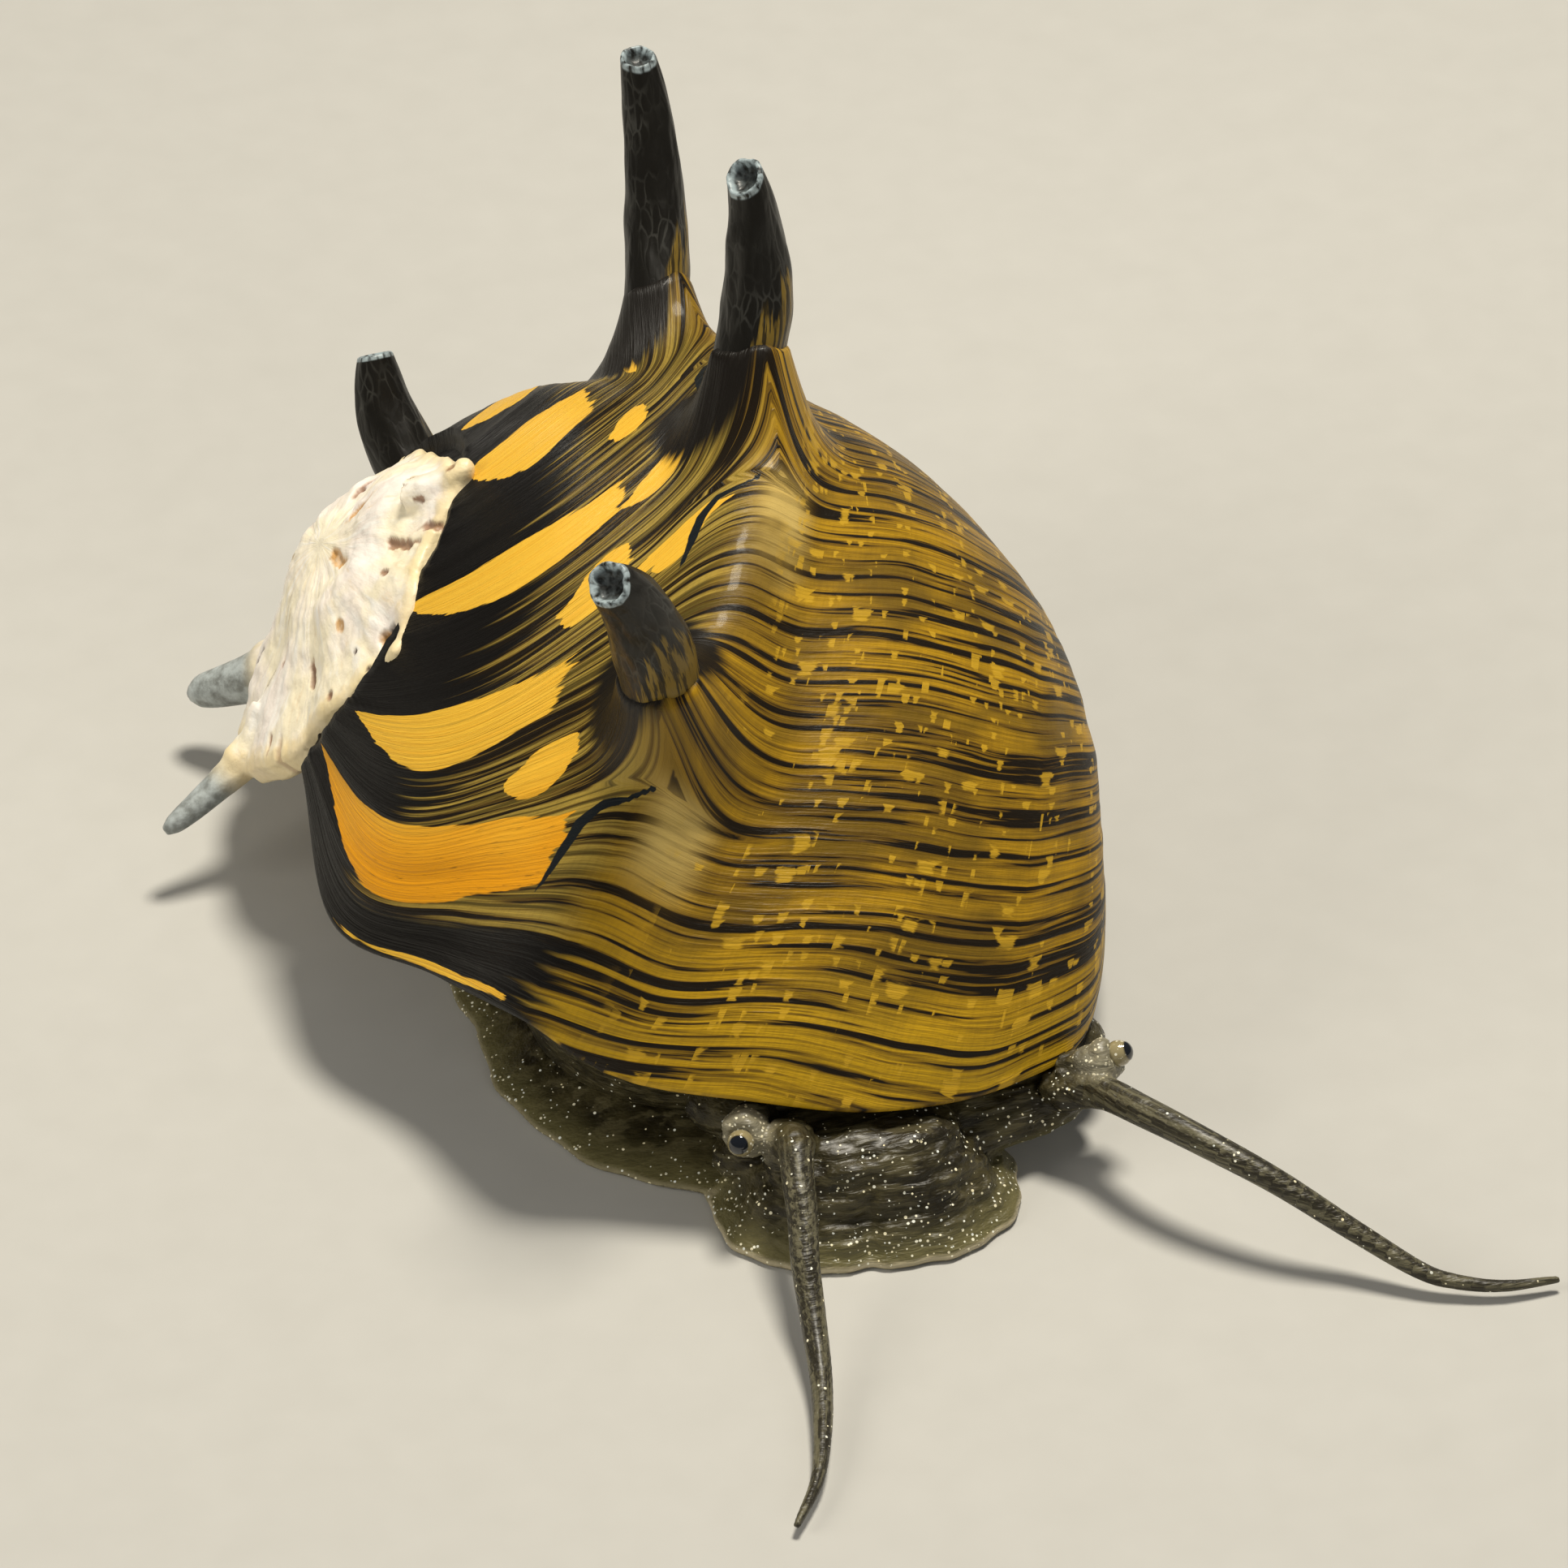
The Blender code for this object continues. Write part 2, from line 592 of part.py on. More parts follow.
def snout_outline(angle):
    return oval(angle, SNOUT_HALF_WIDTH, SNOUT_REACH, SNOUT_BACK, 2.5)


def snout(name, extra, material=None):
    def wider(angle):
        x, y = snout_outline(angle)
        r = math.hypot(x, y)
        return x * (r + extra) / r, y * (r + extra) / r
    return domed(name, SNOUT_CENTRE, wider, SNOUT_RIM + extra, SNOUT_HEIGHT + extra, 0.5, 40,
                 material, SNOUT_TURN)


def ball(name, centre, radii, rows, sides, material=None):
    rings = []
    for i in range(1, rows):
        t = math.pi * i / rows
        rings.append([(centre[0] + radii[0] * math.sin(t) * math.cos(2 * math.pi * j / sides),
                       centre[1] + radii[1] * math.sin(t) * math.sin(2 * math.pi * j / sides),
                       centre[2] - radii[2] * math.cos(t)) for j in range(sides)])
    return lofted(name, rings, material)


def neck(name, extra, material=None):
    return ball(name, NECK_CENTRE, [r + extra for r in NECK_RADII], 10, 28, material)


foot = domed("foot", FOOT_CENTRE, sole_outline, FOOT_EDGE, FOOT_HEIGHT, 0.35, 56, FLESH_PAINT)
combine(foot, snout("clearance", GAP), "DIFFERENCE")
combine(foot, neck("clearance", GAP), "DIFFERENCE")
tidy(foot)

head = snout("head", 0.0, FLESH_PAINT)
combine(head, neck("neck", 0.0), "UNION")
tidy(head)

# Mantle: the soft body that fills the front of the shell's opening above the foot.
def mantle_outline(angle):
    return oval(angle, MANTLE_HALF_WIDTH, MANTLE_FRONT, MANTLE_REAR, 2.4)


mantle_rings = []
for share, level in ((0.6, MANTLE_BOTTOM), (0.94, MANTLE_BOTTOM), (1.0, MANTLE_BOTTOM + 0.4), (1.0, 9.0)):
    ring = []
    for j in range(MANTLE_SIDES):
        x, y = mantle_outline(2 * math.pi * j / MANTLE_SIDES)
        ring.append((MANTLE_CENTRE[0] + x * share, MANTLE_CENTRE[1] + y * share, level))
    mantle_rings.append(ring)
mantle = lofted("mantle", mantle_rings, FLESH_PAINT)
edge = recess_edge(RIM)
roof = [edge + (edge.mean(0) - edge) * 0.5, edge, edge - inward_from(RIM) * 0.5]
ceiling = lofted("ceiling", [r - UP * GAP for r in roof] + [RIM * (1, 1, 0) + UP * ABOVE_SHELL])
combine(mantle, ceiling, "DIFFERENCE")
combine(mantle, neck("clearance", GAP), "DIFFERENCE")
combine(mantle, snout("clearance", GAP), "DIFFERENCE")
tidy(mantle)

# Feelers in three lengths, and the eyes on their short stalks.
def feeler_widths(run):
    """Radius of a feeler at shares of its length: thick at the base, thin only at the tip."""
    near_base = FEELER_MID_RADIUS + (FEELER_BASE_RADIUS - FEELER_MID_RADIUS) * np.exp(-run * 7)
    near_tip = FEELER_MID_RADIUS + (FEELER_TIP_RADIUS - FEELER_MID_RADIUS) * (run - 0.8) / 0.2
    return np.where(run > 0.8, near_tip, near_base)


for side, points in (("right", RIGHT_FEELER), ("left", LEFT_FEELER)):
    line = smooth_path(points, 61)
    width = feeler_widths(np.linspace(0, 1, 61))
    for part, first, last in (("base", 0, 19), ("middle", 20, 39), ("tip", 40, 60)):
        tube(f"feeler_{side}_{part}", line[first:last + 1], width[first:last + 1], 10, FLESH_PAINT)

for side, (low, high) in (("right", RIGHT_STALK), ("left", LEFT_STALK)):
    low, high = np.array(low), np.array(high)
    way = high - low
    path = [low + way * t for t in (0, 0.35, 0.7, 0.9, 1.0)]
    tube(f"eye_stalk_{side}", path, [STALK_RADIUS * f for f in (0.9, 1.0, 1.0, 0.85, 0.6)], 14, FLESH_PAINT)
    out = unit(way)
    ball(f"eye_{side}", high + out * (EYE_RADIUS + 0.1), [EYE_RADIUS] * 3, 10, 14, EYE_PAINT)

# Operculum: a thin oval plate lying on the back of the foot.
plate = []
for share, level in ((0.9, 0), (1.0, 0.15), (1.0, 0.35), (0.9, OPERCULUM_THICKNESS)):
    ring = []
    for j in range(32):
        x, y = oval(2 * math.pi * j / 32, *OPERCULUM_RADII, OPERCULUM_RADII[1])
        ring.append((OPERCULUM_CENTRE[0] + x * share, OPERCULUM_CENTRE[1] + y * share,
                     OPERCULUM_CENTRE[2] - 0.35 + level))
    plate.append(ring)
lofted("operculum", plate, PLATE_PAINT)

# Stand the snail with the middle of its box's base at the origin.
corners = []
for thing in bpy.data.objects:
    points = np.array([tuple(v.co) for v in thing.data.vertices])
    corners.append(points.min(0) + np.array(thing.location))
    corners.append(points.max(0) + np.array(thing.location))
corners = np.array(corners)
middle = (corners.min(0) + corners.max(0)) / 2
shift = Vector((middle[0], middle[1], corners[:, 2].min()))
for thing in bpy.data.objects:
    thing.location -= shift
print("moved by", [round(x / MM, 3) for x in shift])
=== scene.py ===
# %% [markdown]
# # A horned nerite snail, life size
# The snail is a few centimetres long and crawls towards -Y. Its shell is one coiled
# tube that widens fast, so nearly all that shows is the last turn, with an old worn
# patch on top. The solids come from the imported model, and this script lays the looks
# over them. Every length below is in millimetres until a mesh is made.

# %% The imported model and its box
import math
import random

import bpy
import bmesh
import numpy as np
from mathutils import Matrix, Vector, noise
from mathutils.bvhtree import BVHTree


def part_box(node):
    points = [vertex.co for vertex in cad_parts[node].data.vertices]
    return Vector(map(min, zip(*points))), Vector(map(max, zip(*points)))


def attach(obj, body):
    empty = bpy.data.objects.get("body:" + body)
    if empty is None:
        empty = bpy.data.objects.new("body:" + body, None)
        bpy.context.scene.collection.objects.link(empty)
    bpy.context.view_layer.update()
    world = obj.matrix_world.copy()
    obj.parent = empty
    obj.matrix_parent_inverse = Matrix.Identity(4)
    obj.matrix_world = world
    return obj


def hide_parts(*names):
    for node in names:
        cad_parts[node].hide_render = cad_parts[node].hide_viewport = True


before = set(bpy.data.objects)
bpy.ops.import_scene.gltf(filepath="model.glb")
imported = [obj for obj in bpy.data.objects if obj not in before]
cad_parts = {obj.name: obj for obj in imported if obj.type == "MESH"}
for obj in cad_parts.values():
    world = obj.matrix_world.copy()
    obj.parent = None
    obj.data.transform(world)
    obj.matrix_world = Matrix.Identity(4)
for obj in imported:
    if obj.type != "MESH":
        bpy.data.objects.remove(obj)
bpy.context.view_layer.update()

MM = 0.001
random.seed(7)

# %% [markdown]
# The solids were drawn about the shell and then moved so that the middle of their box
# stands on the origin. The plate on the foot tells how far: where it was drawn is
# known, and where it is now can be read from the frame. All points below are moved
# by the same step when a mesh is made.

# %% How far the solids were moved
PLATE_CENTRE = np.array([0.6, 6.4])
plate_low, plate_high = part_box("operculum")
MOVED = np.array([(plate_low[k] + plate_high[k]) / 2 / MM - PLATE_CENTRE[k] for k in (0, 1)] + [0.0])
print("moved by", MOVED.round(3), "mm")

# %% [markdown]
# The floor is a plain pale sheet, and the light is a wide soft lamp almost overhead
# and a little behind, as in the photograph, with a weak one from the front so that the
# dark head keeps its form. The two weak lamps don't show in the gloss, so the black
# parts of the shell stay black and carry one clear highlight. The object is tiny, so the
# lamps are small and near, and the camera may clip very close.

# %% Floor, light and camera
def floor_material():
    material = bpy.data.materials.new("pale floor")
    material.use_nodes = True
    tree = material.node_tree
    shader = tree.nodes["Principled BSDF"]
    shader.inputs["Roughness"].default_value = 0.75
    grain = tree.nodes.new("ShaderNodeTexNoise")
    grain.inputs["Scale"].default_value = 900.0
    tint = tree.nodes.new("ShaderNodeMix")
    tint.data_type = "RGBA"
    tint.inputs[6].default_value = (0.50, 0.49, 0.455, 1)
    tint.inputs[7].default_value = (0.54, 0.53, 0.495, 1)
    tree.links.new(grain.outputs["Fac"], tint.inputs[0])
    tree.links.new(tint.outputs[2], shader.inputs["Base Color"])
    return material


FLOOR_HALF = 0.6
floor_mesh = bpy.data.meshes.new("floor")
floor_mesh.from_pydata([(-FLOOR_HALF, -FLOOR_HALF, 0), (FLOOR_HALF, -FLOOR_HALF, 0),
                        (FLOOR_HALF, FLOOR_HALF, 0), (-FLOOR_HALF, FLOOR_HALF, 0)], [], [(0, 1, 2, 3)])
floor = bpy.data.objects.new("floor", floor_mesh)
floor_mesh.materials.append(floor_material())
bpy.context.collection.objects.link(floor)

LOOK_AT = np.array([1.24, -0.08, 4.59]) + MOVED
CAMERA_AZIMUTH = math.radians(-16)
CAMERA_ELEVATION = math.radians(38)
CAMERA_DISTANCE = 184.0
FRAME_WIDTH = 35.55
to_camera = np.array([math.sin(CAMERA_AZIMUTH) * math.cos(CAMERA_ELEVATION),
                      -math.cos(CAMERA_AZIMUTH) * math.cos(CAMERA_ELEVATION),
                      math.sin(CAMERA_ELEVATION)])


def aim(thing, place, target):
    """Puts a lamp or camera at a place, in mm, and turns it to a target."""
    thing.location = Vector(place) * MM
    way = Vector(target) - Vector(place)
    thing.rotation_euler = way.to_track_quat("-Z", "Y").to_euler()
    bpy.context.collection.objects.link(thing)


def soft_lamp(name, place, size, watts, colour, in_gloss=True):
    lamp = bpy.data.lights.new(name, "AREA")
    lamp.shape = "DISK"
    lamp.size = size * MM
    lamp.energy = watts
    lamp.color = colour
    thing = bpy.data.objects.new(name, lamp)
    thing.visible_glossy = in_gloss
    aim(thing, place, LOOK_AT)


soft_lamp("overhead lamp", (30, 30, 170), 45, 0.33, (1.0, 0.94, 0.82))
soft_lamp("left lamp", (-150, -20, 90), 90, 0.11, (1.0, 0.95, 0.85), in_gloss=False)
soft_lamp("front lamp", (40, -190, 70), 110, 0.07, (1.0, 0.98, 0.94), in_gloss=False)

camera_data = bpy.data.cameras.new("camera")
camera_data.sensor_width = 36.0
camera_data.lens = 36.0 * CAMERA_DISTANCE / FRAME_WIDTH
camera_data.clip_start = 0.001
camera = bpy.data.objects.new("camera", camera_data)
aim(camera, LOOK_AT + to_camera * CAMERA_DISTANCE, LOOK_AT)
bpy.context.scene.camera = camera

world = bpy.data.worlds.new("room")
world.use_nodes = True
world.node_tree.nodes["Background"].inputs["Color"].default_value = (0.86, 0.87, 0.88, 1)
world.node_tree.nodes["Background"].inputs["Strength"].default_value = 0.13
bpy.context.scene.world = world
bpy.context.scene.view_settings.view_transform = "Standard"
print("lens", round(camera_data.lens, 1), "mm")

# %% [markdown]
# A snail builds its shell at the lip, one growth line after another. Each older line
# is a smaller copy of the lip, turned back about the axis of the coil. So the whole
# turn can be swept from one curve with the shell's own sizes, and every point of it
# knows two things that the colours need: how long ago it grew, and how far along the
# lip it sits.

# %% The coil of the shell
APEX = np.array([-7.3, 8.0, 8.3])
AXIS = np.array([-0.725, 0.365, 0.584])
AXIS = AXIS / np.linalg.norm(AXIS)
GROWTH_LAST = 0.238
GROWTH_EARLY = 0.122
GROWTH_CHANGE = math.radians(180)
LIP_CORNERS = np.array([
    (-9.3, 3.0, 5.0), (-9.5, -0.9, 3.6), (-7.9, -3.7, 4.0), (-6.6, -6.7, 4.8),
    (-4.7, -7.9, 3.6), (-2.1, -9.0, 3.3), (0.8, -9.6, 2.8), (3.9, -9.2, 2.5),
    (6.4, -7.3, 2.4), (8.3, -0.8, 2.6), (6.7, 3.3, 2.8), (1.6, 5.9, 2.8)])
SHOULDER = LIP_CORNERS[3]


def unit(v):
    v = np.asarray(v, float)
    return v / np.linalg.norm(v)


def grown(points, back):
    """Points of the lip as they stood some degrees of the coil ago, one angle or one each."""
    angle = np.radians(np.asarray(back, float))
    size = np.exp(-GROWTH_LAST * np.minimum(angle, GROWTH_CHANGE)
                  - GROWTH_EARLY * np.maximum(angle - GROWTH_CHANGE, 0.0))
    p = np.atleast_2d(points) - APEX
    along = (p @ AXIS)[:, None] * AXIS
    turn = angle[..., None] if np.ndim(angle) else angle
    size = size[..., None] if np.ndim(size) else size
    return APEX + size * (along + (p - along) * np.cos(turn) + np.cross(AXIS, p) * np.sin(turn))


def smooth_path(points, count=None, at=None):
    """A smooth curve through the points, even along its length or at given shares of it."""
    p = np.asarray(points, float)
    p = np.vstack([2 * p[0] - p[1], p, 2 * p[-1] - p[-2]])
    fine = []
    for i in range(1, len(p) - 2):
        t = np.linspace(0, 1, 24, endpoint=False)[:, None]
        a, b, c, d = p[i - 1], p[i], p[i + 1], p[i + 2]
        fine.append(0.5 * (2 * b + (c - a) * t + (2 * a - 5 * b + 4 * c - d) * t ** 2
                           + (3 * b - a - 3 * c + d) * t ** 3))
    fine = np.vstack(fine + [p[-2:-1]])
    run = np.r_[0, np.cumsum(np.linalg.norm(np.diff(fine, axis=0), axis=1))]
    at = np.linspace(0, 1, count) if at is None else at
    return np.stack([np.interp(at * run[-1], run, fine[:, k]) for k in range(3)], axis=1)


probe = smooth_path(LIP_CORNERS, 2001)
LIP_LENGTH = np.linalg.norm(np.diff(probe, axis=0), axis=1).sum()
SHOULDER_AT = np.argmin(np.linalg.norm(probe - SHOULDER, axis=1)) / 2000
PAST_SHOULDER = probe[int(SHOULDER_AT * 2000) + 30]
print("lip", round(LIP_LENGTH, 1), "mm long, shoulder at", round(SHOULDER_AT, 3))

# %% [markdown]
# The horns stood on the lip's shoulder when they were made. A horn starts as a fold in
# the lip, so the growth lines climb towards it, meet in a seam on its newer side, and
# start afresh at a small step below it. These few numbers are the ones that the solids
# use, with the reach of each seam added.

# %% Where the horns stand
HORNS = {
    "horn_1": dict(back=35, length=5.5, along=(-0.34, -0.28, 0.89), bow=(0.25, 0.1, 0.5),
                   foot=0.87, tip=0.5, faces=(-0.6, -0.48, 0.65), seam=9),
    "horn_2": dict(back=83, length=5.57, along=(0.048, 0.251, 0.967), bow=(0.49, 0.23, -0.28),
                   foot=0.8, tip=0.47, faces=(-0.63, -0.31, 0.71), seam=14),
    "horn_3": dict(back=131, length=6.89, along=(0.073, 0.544, 0.836), bow=(0.36, 0.51, -0.46),
                   foot=0.75, tip=0.42, faces=(-0.03, -0.12, 0.98), seam=24),
    "horn_4": dict(back=201, length=4.5, along=(-0.19, 0.58, 0.79), bow=(-0.33, 0.38, -0.22),
                   foot=0.82, tip=0.43, faces=(-0.05, 0.55, 0.83), seam=20),
}
HORN_FOOT = 1.4
HORN_TAPER = 2.2
FLARE_REACH = 2.25
FLARE_CURVE = 3.2
for horn in HORNS.values():
    horn["base"] = grown(SHOULDER, horn["back"])[0]
    horn["way"] = unit(horn["along"])
    horn["newer"] = unit(grown(SHOULDER, horn["back"] - 8)[0] - horn["base"])
    horn["outer"] = unit(grown(PAST_SHOULDER, horn["back"])[0] - horn["base"])
    # The lit side of each horn's foot, towards newer growth and outwards; the turn and the horn take painted shadow on
    # the other side.
    horn["lit_side"] = horn["newer"] * 0.5 + horn["outer"] * 0.9
print("horn bases in mm:", {name: h["base"].round(1).tolist() for name, h in HORNS.items()})


# %% [markdown]
# Relief and colours need randomness that runs along growth lines: quick across them
# and slow along them. A small helper gives smooth seeded noise on a plane, so it can
# be stretched by any amount in either direction.

# %% Smooth seeded noise on a plane
def plane_noise(u, v, seed, size=257):
    """Smooth noise between -1 and 1 for arrays u and v, one bump to a unit."""
    grid = np.random.default_rng(seed).uniform(-1, 1, (size, size))
    iu, iv = np.floor(u).astype(int), np.floor(v).astype(int)
    fu, fv = u - iu, v - iv
    fu, fv = fu * fu * (3 - 2 * fu), fv * fv * (3 - 2 * fv)
    a, b = grid[iu % size, iv % size], grid[(iu + 1) % size, iv % size]
    c, d = grid[iu % size, (iv + 1) % size], grid[(iu + 1) % size, (iv + 1) % size]
    return (a * (1 - fu) + b * fu) * (1 - fv) + (c * (1 - fu) + d * fu) * fv


def smoothstep(low, high, x):
    t = np.clip((x - low) / (high - low), 0, 1)
    return t * t * (3 - 2 * t)


print("noise at a few points:", plane_noise(np.array([0.5, 3.2]), np.array([0.1, 8.8]), 1).round(2))

# %% [markdown]
# The age of each point. On the outer side the growth lines are the swept curves
# themselves. On the ramp, from the shoulder in to the suture, they lean forward by up
# to a seventh of a turn, and beside a seam they are pulled up towards the horn. The
# age is that of the swept line, corrected by both.

# %% Age of every point of the shell
RAMP_LEAN = 44.0
RAMP_LEAN_FULL_AT = 65.0
SEAM_PULL = 9.0
SEAM_WIDTH = 0.024


def lean(age):
    return RAMP_LEAN * np.minimum(age / RAMP_LEAN_FULL_AT, 1.0)


def seam_line(s, back, horn):
    """How far a point lies from a horn's seam (mm), and its place down the seam: 0 at the horn, 1 at the end."""
    aside = s - SHOULDER_AT - 0.02 * np.clip((horn["back"] - back) / horn["seam"], 0, 1)
    return aside * LIP_LENGTH, (horn["back"] - back) / horn["seam"]


def age_of(back, s):
    """Degrees of growth ago for points at an angle back from the lip and a place along it."""
    ramp = np.clip(1 - s / (SHOULDER_AT + 0.02), 0, 1) ** 1.7
    age = back.copy()
    for _ in range(4):
        age = back + lean(age) * ramp
    side = np.clip((s - SHOULDER_AT) / 0.25, 0, 1)
    age = age - 3.0 * np.sin(math.pi * side)
    for horn in HORNS.values():
        aside, down = seam_line(s, back, horn)
        reach = np.where(down < 0, np.exp(down * 3), np.where(down < 1, 1 - 0.65 * down, 0))
        age = age - SEAM_PULL * reach * np.exp(-np.abs(aside) / (SEAM_WIDTH * LIP_LENGTH))
    return age


check = age_of(np.array([70.0, 52.5]), np.array([0.275, 0.018]))
print("ages of two points:", check.round(1))

# %% [markdown]
# The oldest turns are worn down to one chalky patch on top. Its outline is the suture
# for nearly half a round, and then a rounded curve back to the lip. The turn has to
# know it too, because it goes on a little way under the patch, and shows where the
# edge of the patch is drawn in.

# %% Outline and wear of the patch
CAP_DOME = 1.0
CAP_MIDDLE_AT = (303, 0.83, -0.75)
FAR_FROM = 190
CAP_BULGE = 0.9
CAP_SWELL = 0.35
DIP_ENDS = 310
CAP_DIP = 1.5
CAP_SPREAD = 0.40
SUTURE_END = LIP_CORNERS[0]
CAP_SIDE = unit(SUTURE_END - APEX - AXIS * ((SUTURE_END - APEX) @ AXIS))
STUBS = [dict(back=97, length=0.55, along=(0.1, 0.1, 0.99), radius=0.36, lift=0.7),
         dict(back=284, length=2.7, along=(-0.75, 0.49, -0.45), radius=0.55, lift=-0.4),
         dict(back=322, length=2.35, along=(-0.85, -0.21, -0.48), radius=0.33, lift=-0.4)]


def cap_way(back):
    """The direction straight out from the coiling axis at an angle back from the lip."""
    turn = math.radians(back)
    return CAP_SIDE * math.cos(turn) + np.cross(AXIS, CAP_SIDE) * math.sin(turn)


def cap_rim(back):
    """A point of the patch's edge: the suture, then a curve round the far side to the lip."""
    if back <= FAR_FROM:
        return grown(SUTURE_END, back)[0]
    share = (back - FAR_FROM) / (360 - FAR_FROM)
    start = grown(SUTURE_END, FAR_FROM)[0] - APEX
    end = SUTURE_END - APEX
    ease = share * share * (3 - 2 * share)
    rise = math.sin(math.pi * share)
    radius = np.linalg.norm(np.cross(start, AXIS)) * (1 - ease) + np.linalg.norm(np.cross(end, AXIS)) * ease
    height = (start @ AXIS) * (1 - ease) + (end @ AXIS) * ease
    return APEX + cap_way(back) * (radius + CAP_BULGE * rise) + AXIS * (height + CAP_SWELL * rise)


def cap_dip(back):
    """How far the patch's edge dips on the side turned away from the lip."""
    share = np.clip((np.asarray(back) - FAR_FROM) / (DIP_ENDS - FAR_FROM), 0, 1)
    return CAP_DIP * np.sin(math.pi * share) ** 2


SCALLOPS = [(7, 0.11, 0.4), (12, 0.08, 2.1), (19, 0.04, 0.9)]
DRAWN_IN = [(0, 1.1), (3, 1.3), (12, 0.9), (26, 0.5), (34, 0.3), (42, -0.25), (54, 0.4), (62, 0.8),
            (78, 0.7), (88, 0.4), (96, 0.2), (102, 0.5), (110, 1.15), (130, 1.1), (160, 1.2), (185, 0.45),
            (200, 0.2), (213, 0.0), (280, 0.0), (308, 0.4), (320, 0.6), (343, 0.6), (352, 0.8), (360, 1.1)]
LUMPS = [(132, 0.55, 1.1, 0.26), (96, 0.88, 0.8, 0.16), (50, 0.22, 1.0, -0.24), (276, 0.32, 1.0, 0.22),
         (35, 0.45, 0.9, 0.16), (28, 0.66, 0.8, -0.14), (2, 0.62, 0.8, -0.2), (14, 0.86, 0.8, 0.14),
         (41, 0.97, 0.7, -0.24), (60, 0.86, 0.8, 0.13), (74, 0.68, 0.8, -0.16), (90, 0.5, 0.9, 0.12),
         (340, 0.86, 0.9, 0.16), (322, 0.5, 0.9, -0.18), (300, 0.72, 0.9, 0.18), (262, 0.74, 1.0, -0.2),
         (236, 0.5, 1.0, 0.2), (222, 0.82, 1.0, -0.2), (196, 0.62, 1.1, 0.22), (172, 0.4, 1.0, -0.18),
         (190, 0.88, 0.9, -0.16), (150, 0.82, 0.9, -0.14), (246, 0.88, 0.8, 0.15)]
CAP_POINTS = 180
CAP_BACKS = np.arange(CAP_POINTS) * 2.0
cap_edge = np.array([cap_rim(b) for b in CAP_BACKS])
cap_middle = APEX + cap_way(CAP_MIDDLE_AT[0]) * CAP_MIDDLE_AT[1] + AXIS * CAP_MIDDLE_AT[2]


def cap_point(rim_point, share, dip=0.0):
    """A point of the smooth patch on the way from its middle to a point of its edge."""
    dome = CAP_DOME * (1 - share ** 2) * 0.5 - dip * share ** 8
    return cap_middle + (rim_point - cap_middle) * share + AXIS * dome


lump_centres = [cap_point(cap_rim(back), share, cap_dip(back)) for back, share, reach, height in LUMPS]


def worn(points):
    """Points of the patch raised or lowered by the lumps near them."""
    rise = np.zeros(len(points))
    for centre, (back, share, reach, height) in zip(lump_centres, LUMPS):
        rise += height * np.exp(-(np.linalg.norm(points - centre, axis=1) / reach) ** 2)
    return points + rise[:, None] * AXIS


print("patch middle in mm:", cap_middle.round(2))

# %% [markdown]
# The outside of the last turn is a grid of growth lines. Rows are closer where growth
# is young and the surface is wide, columns are closer near the shoulder where horns
# stand. The lip is rounded and turned in, so the shell shows its thickness, and the
# lower edge at the back is cut off level, where the foot lies against it.

# %% Grid of the last turn
ROWS = 560
COLUMNS = 200
TUCK_SHARES = (0.60, 0.65, 0.70, 0.74, 0.78, 0.82, 0.86, 0.90, 0.94, 0.97)
TUCK_DEPTH = 0.36
BACK_MOST = 345.0
row_density = np.linspace(1.0, 0.55, 2000)
row_run = np.r_[0, np.cumsum(row_density)]
BACK = np.interp(np.linspace(0, row_run[-1], ROWS), row_run, np.linspace(0, BACK_MOST, 2001))
fine_s = np.linspace(0, 1, 2001)
column_weight = 1 + 2.2 * np.exp(-((fine_s - SHOULDER_AT) / 0.07) ** 2)
column_run = np.r_[0, np.cumsum(column_weight[:-1])]
ALONG = np.interp(np.linspace(0, column_run[-1], COLUMNS), column_run, fine_s)
LIP = smooth_path(LIP_CORNERS, at=ALONG)


def sweep(back, lip):
    return np.array([grown(lip, b) for b in back])


def tucked_under(back):
    """The shell goes on past the suture, close under the worn patch: rings from deep to the suture."""
    start = grown(LIP_CORNERS[0], back)
    rings = []
    for share in TUCK_SHARES:
        under = worn(cap_point(start, share))
        rings.append(under - AXIS * TUCK_DEPTH * smoothstep(1.0, 0.90, share))
    return np.stack(rings, axis=1)


def grid_normals(points):
    """Outward direction at every point of a grid of growth lines."""
    across = np.gradient(points, axis=1)
    along = np.gradient(points, axis=0)
    out = np.cross(across, along)
    out /= np.linalg.norm(out, axis=2)[..., None] + 1e-12
    return out


bare = np.concatenate([tucked_under(BACK), sweep(BACK, LIP)], axis=1)
ALONG = np.r_[(np.array(TUCK_SHARES) - 1) * 0.15, ALONG]
COLUMNS = len(ALONG)
outward = grid_normals(bare)
if (outward[0, COLUMNS // 2] @ (bare[0, COLUMNS // 2] - np.array([-0.5, 0.5, 4.6]))) < 0:
    outward = -outward
print("grid", bare.shape, "spacing near the lip",
      round(float(np.linalg.norm(bare[1, 100] - bare[0, 100])), 3), "mm")

# %% [markdown]
# Relief: broad growth ridges, the flared foot of each horn, and the gusset that runs
# down from it along the seam and ends in a step. Displacement in code is used because
# each of these follows the shell's own coordinates.

# %% Relief of the last turn
RIDGE_HEIGHT = 0.045
GUSSET_HEIGHT = 0.75
STEP_MM = 0.22

back_grid, s_grid = np.meshgrid(BACK, ALONG, indexing="ij")
age_grid = age_of(back_grid, s_grid)
size_grid = np.exp(-GROWTH_LAST * np.minimum(np.radians(back_grid), GROWTH_CHANGE))


def growth_ridges(age, s):
    broad = plane_noise(age / 5.2, s * 7, 11) * 1.0
    middle = plane_noise(age / 2.1, s * 11, 12) * 0.5
    return broad + middle


